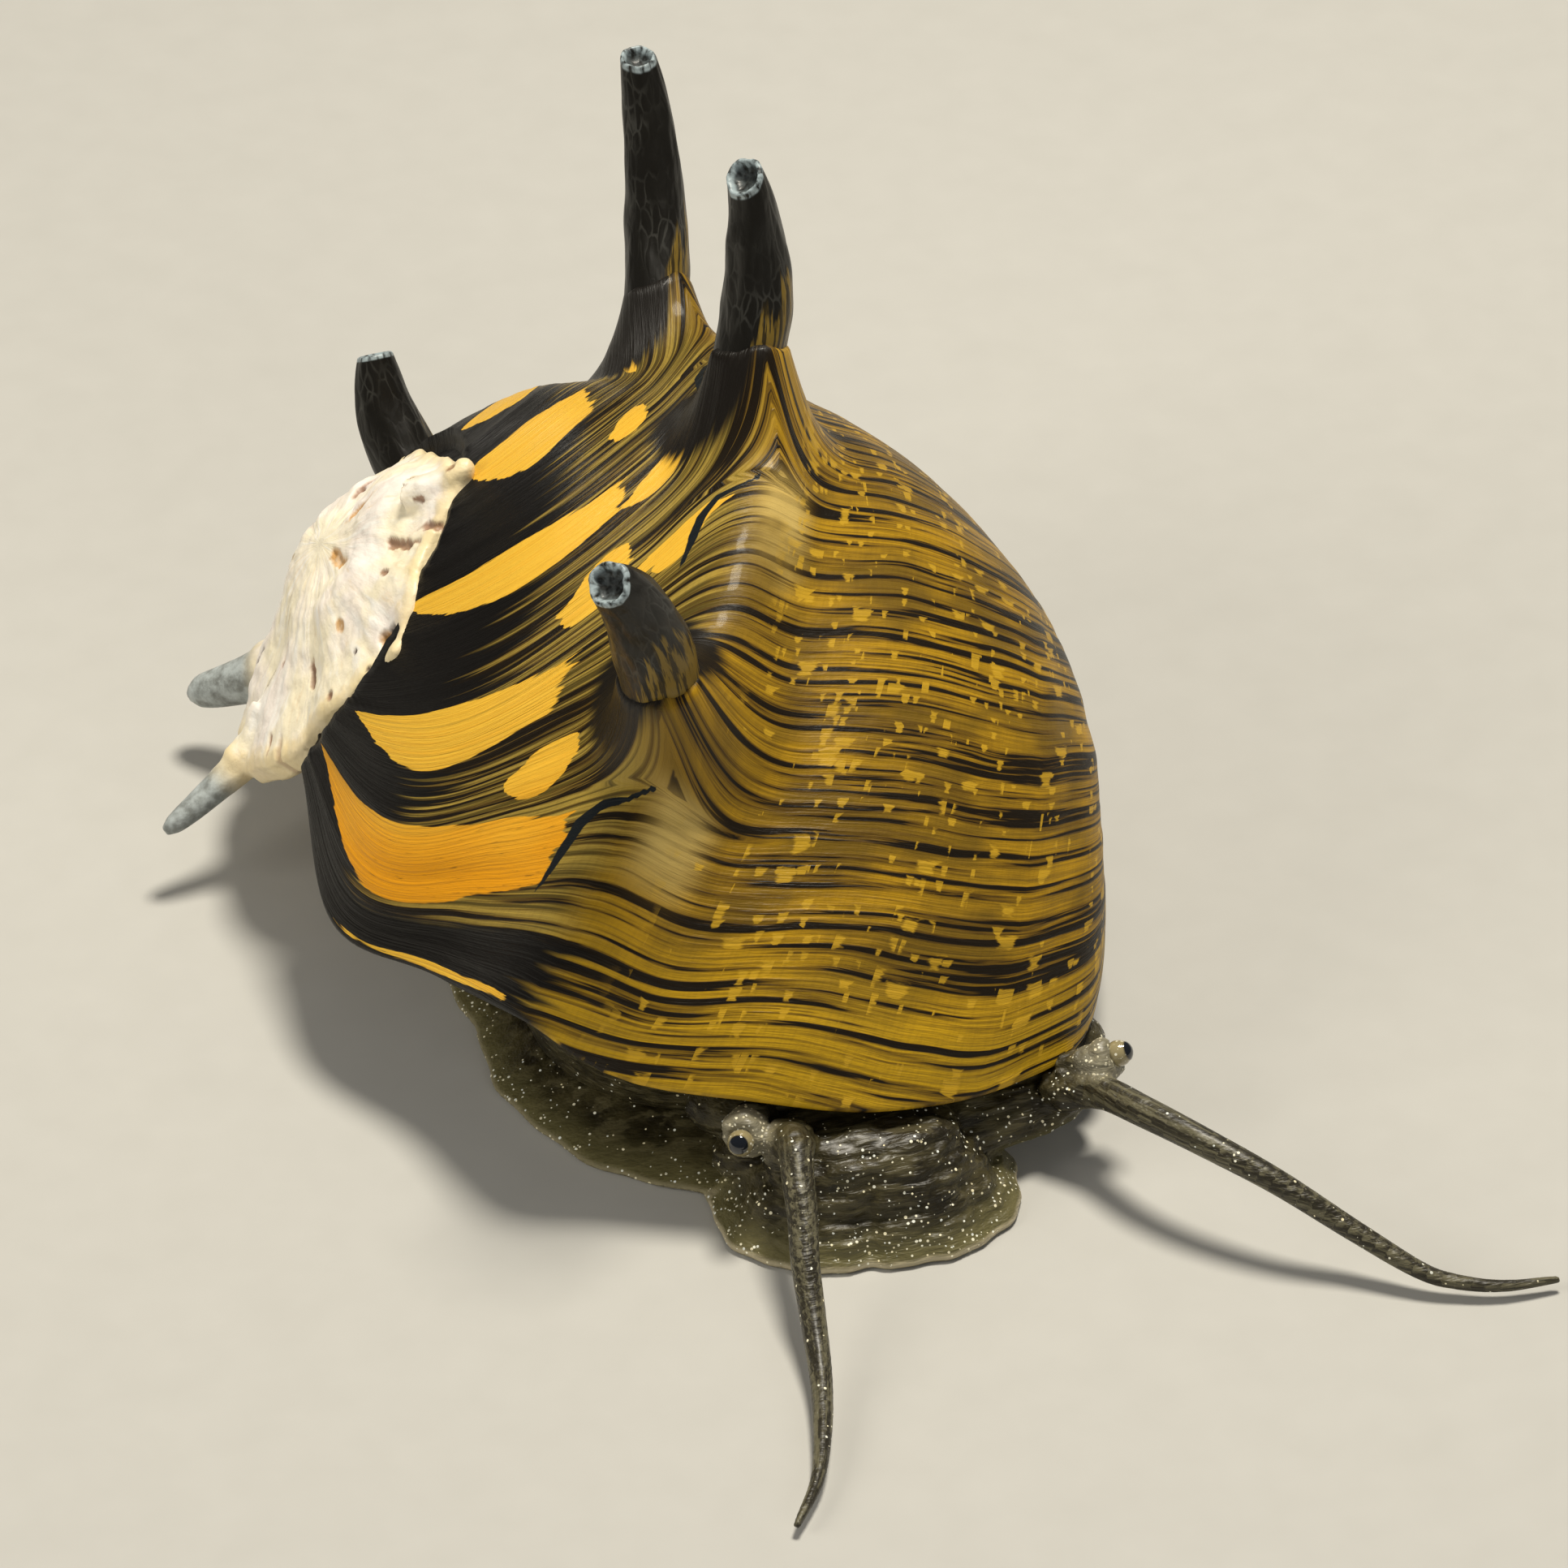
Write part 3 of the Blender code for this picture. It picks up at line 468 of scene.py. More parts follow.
STEP_LINE = [(0.0, 0.263), (-1.7, 0.248), (-2.3, 0.232), (-4.5, 0.222), (-8.0, 0.219), (-13.0, 0.216)]
STEP_HALF = (0.04, 0.07, 0.14, 0.20, 0.17, 0.03)


def step_shadow_strength(path):
    """1 on the step that runs from the end of a seam in and forward, thin at both of its ends: where its dark shell and
    painted shadow go.
    """
    darkest = np.zeros(back_grid.shape)
    for k in range(len(path) - 1):
        (b0, s0), (b1, s1) = path[k], path[k + 1]
        across = (b1 - b0) * STEP_MM, (s1 - s0) * LIP_LENGTH
        offset = (back_grid - b0) * STEP_MM, (s_grid - s0) * LIP_LENGTH
        t = np.clip((offset[0] * across[0] + offset[1] * across[1]) / (across[0] ** 2 + across[1] ** 2), 0, 1)
        away = np.hypot(offset[0] - across[0] * t, offset[1] - across[1] * t)
        half = STEP_HALF[k] * (1 - t) + STEP_HALF[k + 1] * t
        darkest = np.maximum(darkest, smoothstep(1.6, 0.4, away / half))
    return darkest


lift = growth_ridges(age_grid, s_grid) * RIDGE_HEIGHT * size_grid
points = bare + outward * lift[..., None]
horn_shade_distance = np.full(back_grid.shape, 99.0)
step_shadow_and_black = np.zeros(back_grid.shape)
ridge_highlight = np.zeros(back_grid.shape)
for horn in HORNS.values():
    from_base = bare - horn["base"]
    up_horn = from_base @ horn["way"]
    flat = from_base - up_horn[..., None] * horn["way"]
    away = np.linalg.norm(flat, axis=2)
    same_turn = np.abs(back_grid - horn["back"]) < 60
    inner = horn["foot"] * 0.98
    lit_side_share = (flat @ horn["lit_side"]) / (away + 1e-9)
    share = np.clip(1 - (away - inner) / (FLARE_REACH * horn["foot"]), 0, 1)
    raise_by = np.maximum(HORN_FOOT - up_horn, 0) * share ** FLARE_CURVE
    aside, down = seam_line(s_grid, back_grid, horn)
    reach = np.where(down < 0, np.exp(down * 5), np.where(down < 1, 1 - 0.6 * down, 0))
    gusset = GUSSET_HEIGHT * reach * np.exp(-np.abs(aside) / 0.95)
    groove = 0.10 * reach * np.exp(-(aside / 0.13) ** 2)
    amount = np.where(same_turn, gusset - groove, 0)
    points += outward * amount[..., None]
    points += horn["way"] * np.where(same_turn, raise_by, 0)[..., None]
    # Distance from each horn's foot, made larger on its lit side; where it is small the turn gets the horn's painted
    # shadow.
    horn_shade_distance = np.minimum(horn_shade_distance, np.where(same_turn, away - inner + lit_side_share, 99))
    step_path = np.array([(horn["back"] - horn["seam"] + turn, place) for turn, place in STEP_LINE])
    step_shadow_and_black = np.maximum(step_shadow_and_black, same_turn * step_shadow_strength(step_path))
    # Painted highlight: a pale mound of light on the ridge below the end of each seam.
    ridge_highlight = np.maximum(ridge_highlight, same_turn * smoothstep(0.75, 1.1, down) * smoothstep(2.3, 1.5, down)
                            * smoothstep(1.3, 0.3, np.abs(aside - 0.35)))
print("tallest flare", round(float(np.linalg.norm(points - bare, axis=2).max()), 2), "mm")

# %% [markdown]
# Bright bands. Near the suture the shell is black with yellow sickles, one every
# thirty degrees or so, each lying along the growth lines. Further out come small
# yellow patches. Drawing them with a texture would blur their edges, so each point
# stores how deep it lies inside the nearest band, and the material cuts that number
# off sharply with a little ragged noise.

# %% Depth inside the yellow bands
SICKLES = [(10, 29, 0.0, 0.215), (41, 62, 0.010, 0.156), (83, 98, 0.000, 0.150),
           (121, 146, 0.000, 0.118), (164, 184, 0.0, 0.13), (205, 222, 0.0, 0.12),
           (246, 270, 0.0, 0.14), (292, 306, 0.0, 0.12), (330, 352, 0.0, 0.13)]
PATCHES = [(29, 39, 0.150, 0.192), (65, 77, 0.130, 0.172), (65, 69, 0.165, 0.240), (83, 90, 0.150, 0.228),
           (62, 67, 0.190, 0.225), (107, 116, 0.130, 0.170), (96, 102, 0.195, 0.214), (130, 137, 0.185, 0.20),
           (147, 155, 0.140, 0.180), (172, 180, 0.150, 0.20), (196, 204, 0.14, 0.19), (228, 236, 0.13, 0.18),
           (262, 268, 0.15, 0.20), (283, 290, 0.14, 0.19), (0.3, 1.4, 0.10, 0.232)]


def band_depth(age, s):
    """Depth in mm inside the nearest band, negative outside."""
    depth = np.full(age.shape, -9.0)
    for kind, bands in (("sickle", SICKLES), ("patch", PATCHES)):
        for young, old, start, end in bands:
            run = np.clip((s - start) / (end - start), 0, 1)
            middle, half = (young + old) / 2, (old - young) / 2
            if kind == "sickle":
                width = half * (1 - (1 - run) ** 3.0) ** 0.8 * (1 - 0.45 * smoothstep(0.45, 1.0, run))
                middle = middle + half * 0.75 * (1 - run) ** 3
            else:
                width = half * (1 - np.abs(2 * run - 1) ** 3)
            from_middle = (width - np.abs(age - middle)) * 0.20
            from_ends = np.minimum(s - start + 0.004, (end - s) * 0.5) * LIP_LENGTH
            depth = np.maximum(depth, np.minimum(from_middle, from_ends))
    return depth


bands_grid = band_depth(age_grid, s_grid)
print("share of the shell in yellow bands:", round(float((bands_grid > 0).mean()), 3))

# %% [markdown]
# Each mesh is made from plain arrays. One helper takes points in millimetres, moves them with the solids, and writes
# the maps and per-point values that its material reads. The map called OFBake is a plain unwrap.

# %% Meshes from arrays
def make_mesh(name, verts, faces, maps=None, values=None, material=None):
    """An object in metres. maps are per-point UVs and values per-point numbers or vectors."""
    mesh = bpy.data.meshes.new(name)
    placed = (np.asarray(verts, float) + MOVED) * MM
    mesh.from_pydata(placed.tolist(), [], [tuple(f) for f in faces])
    corner_points = np.empty(len(mesh.loops), np.int32)
    mesh.loops.foreach_get("vertex_index", corner_points)
    for map_name, uv in (maps or {}).items():
        layer = mesh.uv_layers.new(name=map_name)
        layer.uv.foreach_set("vector", np.asarray(uv, np.float32)[corner_points].ravel())
    for value_name, numbers in (values or {}).items():
        numbers = np.asarray(numbers, np.float32)
        kind = "FLOAT_VECTOR" if numbers.ndim == 2 else "FLOAT"
        layer = mesh.attributes.new(value_name, kind, "POINT")
        layer.data.foreach_set("vector" if numbers.ndim == 2 else "value", numbers.ravel())
    mesh.polygons.foreach_set("use_smooth", [True] * len(mesh.polygons))
    mesh.update()
    thing = bpy.data.objects.new(name, mesh)
    bpy.context.collection.objects.link(thing)
    if material:
        mesh.materials.append(material)
    return thing


def grid_faces(rows, columns, round_columns=False, start=0):
    i, j = np.meshgrid(np.arange(rows - 1), np.arange(columns if round_columns else columns - 1), indexing="ij")
    i, j = i.ravel(), j.ravel()
    k = (j + 1) % columns
    return (start + np.stack([i * columns + j, i * columns + k, (i + 1) * columns + k, (i + 1) * columns + j], 1))


def claim(piece, slot, *nodes):
    """The piece rides on the one body and stands for these solids, which are hidden; slot is not used."""
    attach(piece, "root")
    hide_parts(*nodes)


# %% [markdown]
# Node trees are written with five small helpers, so that each material below reads
# like a recipe: put a node, do a sum, mix two colours, cut a value between two
# limits, and sample noise.

# %% Helpers for materials
def put(tree, kind, values=None, **settings):
    made = tree.nodes.new(kind)
    for setting, value in settings.items():
        setattr(made, setting, value)
    for socket, value in (values or {}).items():
        if isinstance(value, bpy.types.NodeSocket):
            tree.links.new(value, made.inputs[socket])
        else:
            made.inputs[socket].default_value = value
    return made


def sum_of(tree, operation, *values):
    made = put(tree, "ShaderNodeMath", dict(enumerate(values)), operation=operation)
    return made.outputs[0]


def mixed(tree, share, first, second, blend="MIX"):
    made = put(tree, "ShaderNodeMix", {0: share, 6: first, 7: second}, data_type="RGBA", blend_type=blend)
    return made.outputs[2]


def cut(tree, value, low, high, to_low=0.0, to_high=1.0):
    """0 below low and 1 above high, or the other way when low is the larger."""
    made = put(tree, "ShaderNodeMapRange", {0: value, 1: low, 2: high, 3: to_low, 4: to_high},
               interpolation_type="SMOOTHSTEP")
    return made.outputs[0]


def grain(tree, vector, scale=1.0, detail=2.0, rough=0.5, distort=0.0):
    made = put(tree, "ShaderNodeTexNoise", {"Vector": vector, "Scale": scale, "Detail": detail,
                                            "Roughness": rough, "Distortion": distort})
    return made.outputs["Fac"]


def colour(red, green, blue):
    return (red, green, blue, 1.0)


def new_material(name, roughness, coat=0.0, coat_roughness=0.1, ior=1.5):
    """A material with its shader, whose plain numbers are set on the shader itself."""
    material = bpy.data.materials.new(name)
    material.use_nodes = True
    tree = material.node_tree
    shader = tree.nodes["Principled BSDF"]
    shader.inputs["Roughness"].default_value = roughness
    shader.inputs["Coat Weight"].default_value = coat
    shader.inputs["Coat Roughness"].default_value = coat_roughness
    shader.inputs["IOR"].default_value = ior
    return material, tree, shader


print("helpers ready")

# %% [markdown]
# Growth lines appear on the turn, on the horns' feet and on the plate of the foot, so
# they are one shared group. It takes a place as (age, distance along the lip) and
# gives masks: the black cores of the main lines, a wider brown shade round them, and
# faint fine lines. Noise stretched along the line and cut at a level makes them,
# because real ones swell, thin, break and run together.

# %% Shared effect: growth lines
def growth_line_group():
    group = bpy.data.node_groups.new("growth lines", "ShaderNodeTree")
    face = group.interface
    for name in ("Age", "Along", "Density"):
        face.new_socket(name, in_out="INPUT", socket_type="NodeSocketFloat")
    for name in ("Lines", "Shade", "Fine", "Height"):
        face.new_socket(name, in_out="OUTPUT", socket_type="NodeSocketFloat")
    given = group.nodes.new("NodeGroupInput")
    result = group.nodes.new("NodeGroupOutput")
    age, along, density = given.outputs["Age"], given.outputs["Along"], given.outputs["Density"]

    def place(age_step, along_step, shift):
        a = sum_of(group, "MULTIPLY", age, age_step)
        b = sum_of(group, "MULTIPLY", along, along_step)
        return put(group, "ShaderNodeCombineXYZ", {0: a, 1: b, 2: shift}).outputs[0]

    sway = grain(group, place(0.05, 0.16, 3.1), detail=2.0)
    sway = sum_of(group, "MULTIPLY", sum_of(group, "SUBTRACT", sway, 0.5), 3.6)
    age = sum_of(group, "ADD", age, sway)
    long_lines = grain(group, place(0.84, 0.060, 0.0), detail=2.5, rough=0.55)
    short_lines = grain(group, place(1.5, 0.26, 7.7), detail=3.0, rough=0.65)
    both = sum_of(group, "ADD", sum_of(group, "MULTIPLY", long_lines, 0.70),
                  sum_of(group, "MULTIPLY", short_lines, 0.30))
    both = sum_of(group, "ADD", both, density)
    group.links.new(cut(group, both, 0.530, 0.553), result.inputs["Lines"])
    group.links.new(cut(group, both, 0.470, 0.545), result.inputs["Shade"])
    fine = grain(group, place(2.3, 0.13, 15.0), detail=3.0, rough=0.65)
    group.links.new(cut(group, fine, 0.46, 0.60), result.inputs["Fine"])
    height = sum_of(group, "ADD", sum_of(group, "MULTIPLY", both, 1.2), sum_of(group, "MULTIPLY", fine, 0.5))
    group.links.new(height, result.inputs["Height"])
    return group


GROWTH_LINES = growth_line_group()


def add_group(tree, group, **values):
    made = put(tree, "ShaderNodeGroup", node_tree=group)
    for socket, value in values.items():
        if isinstance(value, bpy.types.NodeSocket):
            tree.links.new(value, made.inputs[socket])
        else:
            made.inputs[socket].default_value = value
    return made


print("group made:", GROWTH_LINES.name)

# %% [markdown]
# Small yellow flecks sit in rows round the shell and break the dark lines, and most
# are little wedges, wide on the older side and pointed on the newer one. A cell
# texture gives each its own place and random size, and the place relative to the
# cell's own point says whether it lies in the wedge. This is a group of its own,
# used twice with cells of different size.

# %% Shared effect: wedge flecks
def fleck_group():
    group = bpy.data.node_groups.new("wedge flecks", "ShaderNodeTree")
    face = group.interface
    face.new_socket("Place", in_out="INPUT", socket_type="NodeSocketVector")
    face.new_socket("Share", in_out="INPUT", socket_type="NodeSocketFloat")
    face.new_socket("Ragged", in_out="INPUT", socket_type="NodeSocketFloat")
    face.new_socket("Mask", in_out="OUTPUT", socket_type="NodeSocketFloat")
    given = group.nodes.new("NodeGroupInput")
    result = group.nodes.new("NodeGroupOutput")
    cells = put(group, "ShaderNodeTexVoronoi", {"Vector": given.outputs["Place"], "Scale": 1.0,
                                                "Randomness": 0.9}, voronoi_dimensions="2D")
    offset = put(group, "ShaderNodeVectorMath", {0: given.outputs["Place"], 1: cells.outputs["Position"]},
                 operation="SUBTRACT").outputs[0]
    local = put(group, "ShaderNodeSeparateXYZ", {0: offset})
    pick = put(group, "ShaderNodeSeparateColor", {0: cells.outputs["Color"]})
    tall = sum_of(group, "ADD", sum_of(group, "MULTIPLY", pick.outputs[1], 0.20), 0.18)
    wide = sum_of(group, "ADD", sum_of(group, "MULTIPLY", pick.outputs[2], 0.24), 0.20)
    up = sum_of(group, "DIVIDE", sum_of(group, "ADD", local.outputs[0], tall), sum_of(
        group, "MULTIPLY", tall, 2.0))
    from_side = sum_of(group, "SUBTRACT", sum_of(group, "MULTIPLY", wide, sum_of(
        group, "ADD", sum_of(group, "MULTIPLY", up, 0.4), 0.5)), sum_of(group, "ABSOLUTE", local.outputs[1]))
    from_top = sum_of(group, "SUBTRACT", tall, local.outputs[0])
    from_foot = sum_of(group, "ADD", tall, local.outputs[0])
    depth = sum_of(group, "MINIMUM", from_side, sum_of(group, "MINIMUM", from_top, from_foot))
    depth = sum_of(group, "ADD", depth, sum_of(group, "MULTIPLY", sum_of(
        group, "SUBTRACT", given.outputs["Ragged"], 0.5), 0.55))
    chosen = sum_of(group, "LESS_THAN", pick.outputs[0], given.outputs["Share"])
    group.links.new(sum_of(group, "MULTIPLY", cut(group, depth, -0.03, 0.09), chosen), result.inputs["Mask"])
    return group


WEDGE_FLECKS = fleck_group()
print("group made:", WEDGE_FLECKS.name)

# %% [markdown]
# The finish of the turn: an olive gold ground crossed by dark growth lines, fine yellow stripes on the ramp, the
# flecks, the black zone by the suture with its sickles, and a second black corner where the lip meets the ramp, which
# is a black band and painted shade together. At the steps below the horns go blue-black streaks, the step's own dark
# shell with a painted shadow over it. Painted shadow also lies black round the foot of each horn on its unlit side, and
# a painted highlight lies pale on the ridge below each seam. It is glossy like varnish over fine ridges. Each of these
# is a mask, and the masks are laid over one another from the ground up.

# %% Material of the last turn
OLIVE = colour(0.175, 0.102, 0.009)
GOLD = colour(0.45, 0.250, 0.009)
LIP_YELLOW = colour(0.60, 0.36, 0.012)
RAMP_STRAW = colour(0.36, 0.25, 0.045)
RAMP_OLIVE = colour(0.085, 0.060, 0.011)
SHADE_BROWN = colour(0.072, 0.036, 0.006)
LINE_BLACK = colour(0.011, 0.007, 0.003)
FLECK_YELLOW = colour(0.58, 0.345, 0.022)
SICKLE_YELLOW = colour(0.80, 0.47, 0.045)
SICKLE_ORANGE = colour(0.72, 0.30, 0.008)
SUTURE_BLACK = colour(0.006, 0.005, 0.004)
# Blue-black of the steps, standing both for their dark shell and for the painted shadow that each step casts.
STEP_BLACK_AND_SHADOW = colour(0.007, 0.010, 0.012)
# Pale colour of the painted highlight on the ridge below each seam.
PAINTED_RIDGE_HIGHLIGHT = colour(0.56, 0.40, 0.12)


def shell_material():
    material, tree, shader = new_material("glossy banded shell", 0.42, coat=0.06, coat_roughness=0.12, ior=1.31)
    uv = put(tree, "ShaderNodeUVMap", uv_map="growth").outputs[0]
    parts = put(tree, "ShaderNodeSeparateXYZ", {0: uv})
    age = sum_of(tree, "MULTIPLY", parts.outputs[0], 100.0)
    s = parts.outputs[1]
    along = sum_of(tree, "MULTIPLY", s, LIP_LENGTH)

    def place(age_step, along_step, shift=0.0):
        a = sum_of(tree, "MULTIPLY", age, age_step)
        b = sum_of(tree, "MULTIPLY", along, along_step)
        return put(tree, "ShaderNodeCombineXYZ", {0: a, 1: b, 2: shift}).outputs[0]

    def shaken(value, noise_value, amount):
        """The value moved up and down by noise, so that what is cut from it has a ragged edge."""
        return sum_of(tree, "ADD", value, sum_of(tree, "MULTIPLY", sum_of(
            tree, "SUBTRACT", noise_value, 0.5), amount))

    def given(name):
        return put(tree, "ShaderNodeAttribute", attribute_name=name).outputs["Fac"]

    def times(*masks):
        product = masks[0]
        for mask in masks[1:]:
            product = sum_of(tree, "MULTIPLY", product, mask)
        return product

    patchy = grain(tree, place(0.10, 0.30, 2.0), detail=3.0)
    ragged = grain(tree, place(1.6, 1.3, 5.0), detail=3.0, rough=0.65)
    fingers = grain(tree, place(0.75, 0.07, 21.0), detail=3.0, rough=0.6)
    ramp = cut(tree, shaken(s, fingers, 0.03), 0.275, 0.235)
    black_zone = cut(tree, shaken(s, fingers, 0.16), 0.112, 0.088)
    # Black corner where the lip meets the ramp: a black band of the shell and painted shade where the surface turns
    # down, in one.
    lip_corner_black_and_shade = times(cut(tree, shaken(s, fingers, 0.10), 0.272, 0.245), cut(tree, shaken(age, patchy, 4.0), 9.5, 7.5))
    density = sum_of(tree, "MULTIPLY", cut(tree, s, 0.20, 0.08), 0.045)
    lines = add_group(tree, GROWTH_LINES, Age=age, Along=along, Density=density)
    fine = lines.outputs["Fine"]

    ground = mixed(tree, cut(tree, patchy, 0.38, 0.64), OLIVE, GOLD)
    ground = mixed(tree, times(cut(tree, age, 16.0, 2.0), 0.7), ground, LIP_YELLOW)
    ground = mixed(tree, times(fine, 0.5), ground, OLIVE)
    stripes = cut(tree, grain(tree, place(1.35, 0.05, 31.0), detail=3.0, rough=0.65), 0.42, 0.58)
    ramp_ground = mixed(tree, stripes, RAMP_OLIVE, RAMP_STRAW)
    ground = mixed(tree, ramp, ground, ramp_ground)
    hatch = grain(tree, place(0.35, 9.0, 11.0), detail=2.0)
    ground = mixed(tree, times(cut(tree, hatch, 0.45, 0.62), 0.09), ground, SHADE_BROWN)
    near = given("horn_shade_distance")
    # Painted highlight on the ridge below each seam, in a pale tan.
    ridge_highlight_share = times(given("ridge_highlight"), cut(tree, patchy, 0.25, 0.5))
    ground = mixed(tree, ridge_highlight_share, ground, PAINTED_RIDGE_HIGHLIGHT)

    columns = grain(tree, place(0.02, 1.5, 41.0), detail=2.0)
    common = sum_of(tree, "ADD", cut(tree, columns, 0.40, 0.66), 0.12)
    body = times(cut(tree, s, 0.275, 0.31), cut(tree, near, 0.3, 1.6))
    small = add_group(tree, WEDGE_FLECKS, Place=place(0.32, 1.05), Share=times(common, 0.62), Ragged=ragged)
    large = add_group(tree, WEDGE_FLECKS, Place=place(0.55, 2.2, 5.0), Share=times(common, 0.45), Ragged=ragged)
    fleck = times(sum_of(tree, "MAXIMUM", small.outputs["Mask"], large.outputs["Mask"]), body)
    # Dark lines give way to the flecks and fade under the painted highlight on the ridges.
    unbroken = times(sum_of(tree, "SUBTRACT", 1.0, times(fleck, 0.9)),
                     sum_of(tree, "SUBTRACT", 1.0, times(given("ridge_highlight"), 0.85)))
    base = mixed(tree, times(fleck, 0.75), ground, FLECK_YELLOW)
    base = mixed(tree, times(lines.outputs["Shade"], unbroken, 0.8), base, SHADE_BROWN)
    base = mixed(tree, times(lines.outputs["Lines"], unbroken), base, LINE_BLACK)
    # The black zone by the suture, and the lip corner's black band with its painted shade.
    base = mixed(tree, sum_of(tree, "MAXIMUM", black_zone, lip_corner_black_and_shade), base, SUTURE_BLACK)

    frayed = shaken(given("bands"), grain(tree, place(0.55, 0.25, 9.0), detail=4.0, rough=0.6), 0.8)
    inside = cut(tree, frayed, 0.00, 0.05)
    warmth = times(cut(tree, shaken(age, patchy, 20.0), 42.0, 14.0), cut(tree, age, 2.5, 6.0))
    yellow = mixed(tree, warmth, SICKLE_YELLOW, SICKLE_ORANGE)
    yellow = mixed(tree, times(fine, 0.28), yellow, SICKLE_ORANGE)
    yellow = mixed(tree, times(cut(tree, ragged, 0.60, 0.72), warmth, 0.6), yellow, SHADE_BROWN)
    base = mixed(tree, inside, base, yellow)

    # Painted shadow: black round the foot of each horn, on the side away from the light, where the horn's shadow falls.
    base = mixed(tree, cut(tree, shaken(near, fingers, 0.9), 0.80, 0.45), base, colour(0.010, 0.008, 0.006))
    # The step's own blue-black shell and the painted shadow that the step casts, as one dark streak.
    base = mixed(tree, cut(tree, shaken(given("step_shadow_and_black"), fingers, 0.5), 0.40, 0.60), base, STEP_BLACK_AND_SHADOW)
    tree.links.new(base, shader.inputs["Base Color"])

    bump = put(tree, "ShaderNodeBump", {"Strength": 0.6, "Distance": 0.00013,
                                        "Height": shaken(lines.outputs["Height"], ragged, 0.35)})
    tree.links.new(bump.outputs[0], shader.inputs["Normal"])
    return material


SHELL_FINISH = shell_material()
print("shell nodes:", len(SHELL_FINISH.node_tree.nodes))

# %% [markdown]
# The turn itself: the lip is rolled over and carried a little way in, so that the
# shell ends in a rounded edge of real thickness.

# %% The last turn
LIP_THICKNESS = 0.38
LIP_ROLL = 0.12
REAR_EDGE = [(-0.2, 11.0, 2.9), (-3.0, 12.0, 2.8), (-6.5, 12.0, 2.5), (-9.3, 8.6, 1.9),
             (-10.0, 6.2, 2.3), (-9.9, 4.3, 3.4)]
HEART = np.array([-0.5, 0.5, 4.6])


def edge_height(p):
    """Height of the shell's lower edge in the direction of each point from its middle."""
    edge = np.vstack([smooth_path(LIP_CORNERS, 60), REAR_EDGE])
    around = np.unwrap(np.arctan2(edge[:, 1] - HEART[1], edge[:, 0] - HEART[0]))
    way = np.arctan2(p[..., 1] - HEART[1], p[..., 0] - HEART[0])
    way = around[0] + np.mod(way - around[0], 2 * math.pi)
    return np.interp(way, np.r_[around, around[0] + 2 * math.pi], np.r_[edge[:, 2], edge[0, 2]])


points[..., 2] = np.maximum(points[..., 2], edge_height(points))
lip_forward = points[0] - points[3]
lip_forward /= np.linalg.norm(lip_forward, axis=1)[:, None]
rim_rows = [points[0] + lip_forward * LIP_ROLL * math.sin(t) - outward[0] * LIP_THICKNESS * (1 - math.cos(t)) / 2
            for t in np.linspace(math.pi, math.pi / 5, 5)]
inner_rows = [points[row] - outward[row] * (LIP_THICKNESS + 0.02 * row) for row in (24, 12, 5, 2)]
turn_rows = np.array(inner_rows + rim_rows + list(points))
extra = len(inner_rows) + len(rim_rows)


def with_rim(grid):
    return np.vstack([np.repeat(grid[:1], extra, axis=0), grid]).ravel()


turn_uv = np.stack([with_rim(age_grid) / 100, with_rim(s_grid)], 1)
rows_all = np.arange(len(turn_rows))[:, None] / (len(turn_rows) - 1) + 0 * ALONG[None]
bake_uv = np.stack([rows_all.ravel(), np.repeat(np.linspace(0, 1, COLUMNS)[None], len(turn_rows), 0).ravel()], 1)
last_turn = make_mesh("last_turn", turn_rows.reshape(-1, 3), grid_faces(len(turn_rows), COLUMNS),
                      maps={"OFBake": bake_uv * 0.98 + 0.01, "growth": turn_uv},
                      values={"bands": with_rim(bands_grid), "horn_shade_distance": with_rim(horn_shade_distance),
                              "step_shadow_and_black": with_rim(step_shadow_and_black), "ridge_highlight": with_rim(ridge_highlight)},
                      material=SHELL_FINISH)
claim(last_turn, "shell", "shell_body_whorl")
print("last turn:", len(last_turn.data.polygons), "faces")

# %% [markdown]
# The horns are hollow spikes that have lost their sharp ends. Each is lofted ring by
# ring along its own bent line, with a slightly uneven wall, a rolled rim and a shallow
# pit. A loft is used and not a bevelled curve, so that every point also knows its
# place on the straightened horn, which the net pattern needs.

# %% Material of the horns
HORN_BLACK = colour(0.007, 0.006, 0.004)
HORN_NET = colour(0.036, 0.035, 0.030)
HORN_OLIVE = colour(0.19, 0.122, 0.018)
HORN_RIM = colour(0.36, 0.43, 0.45)


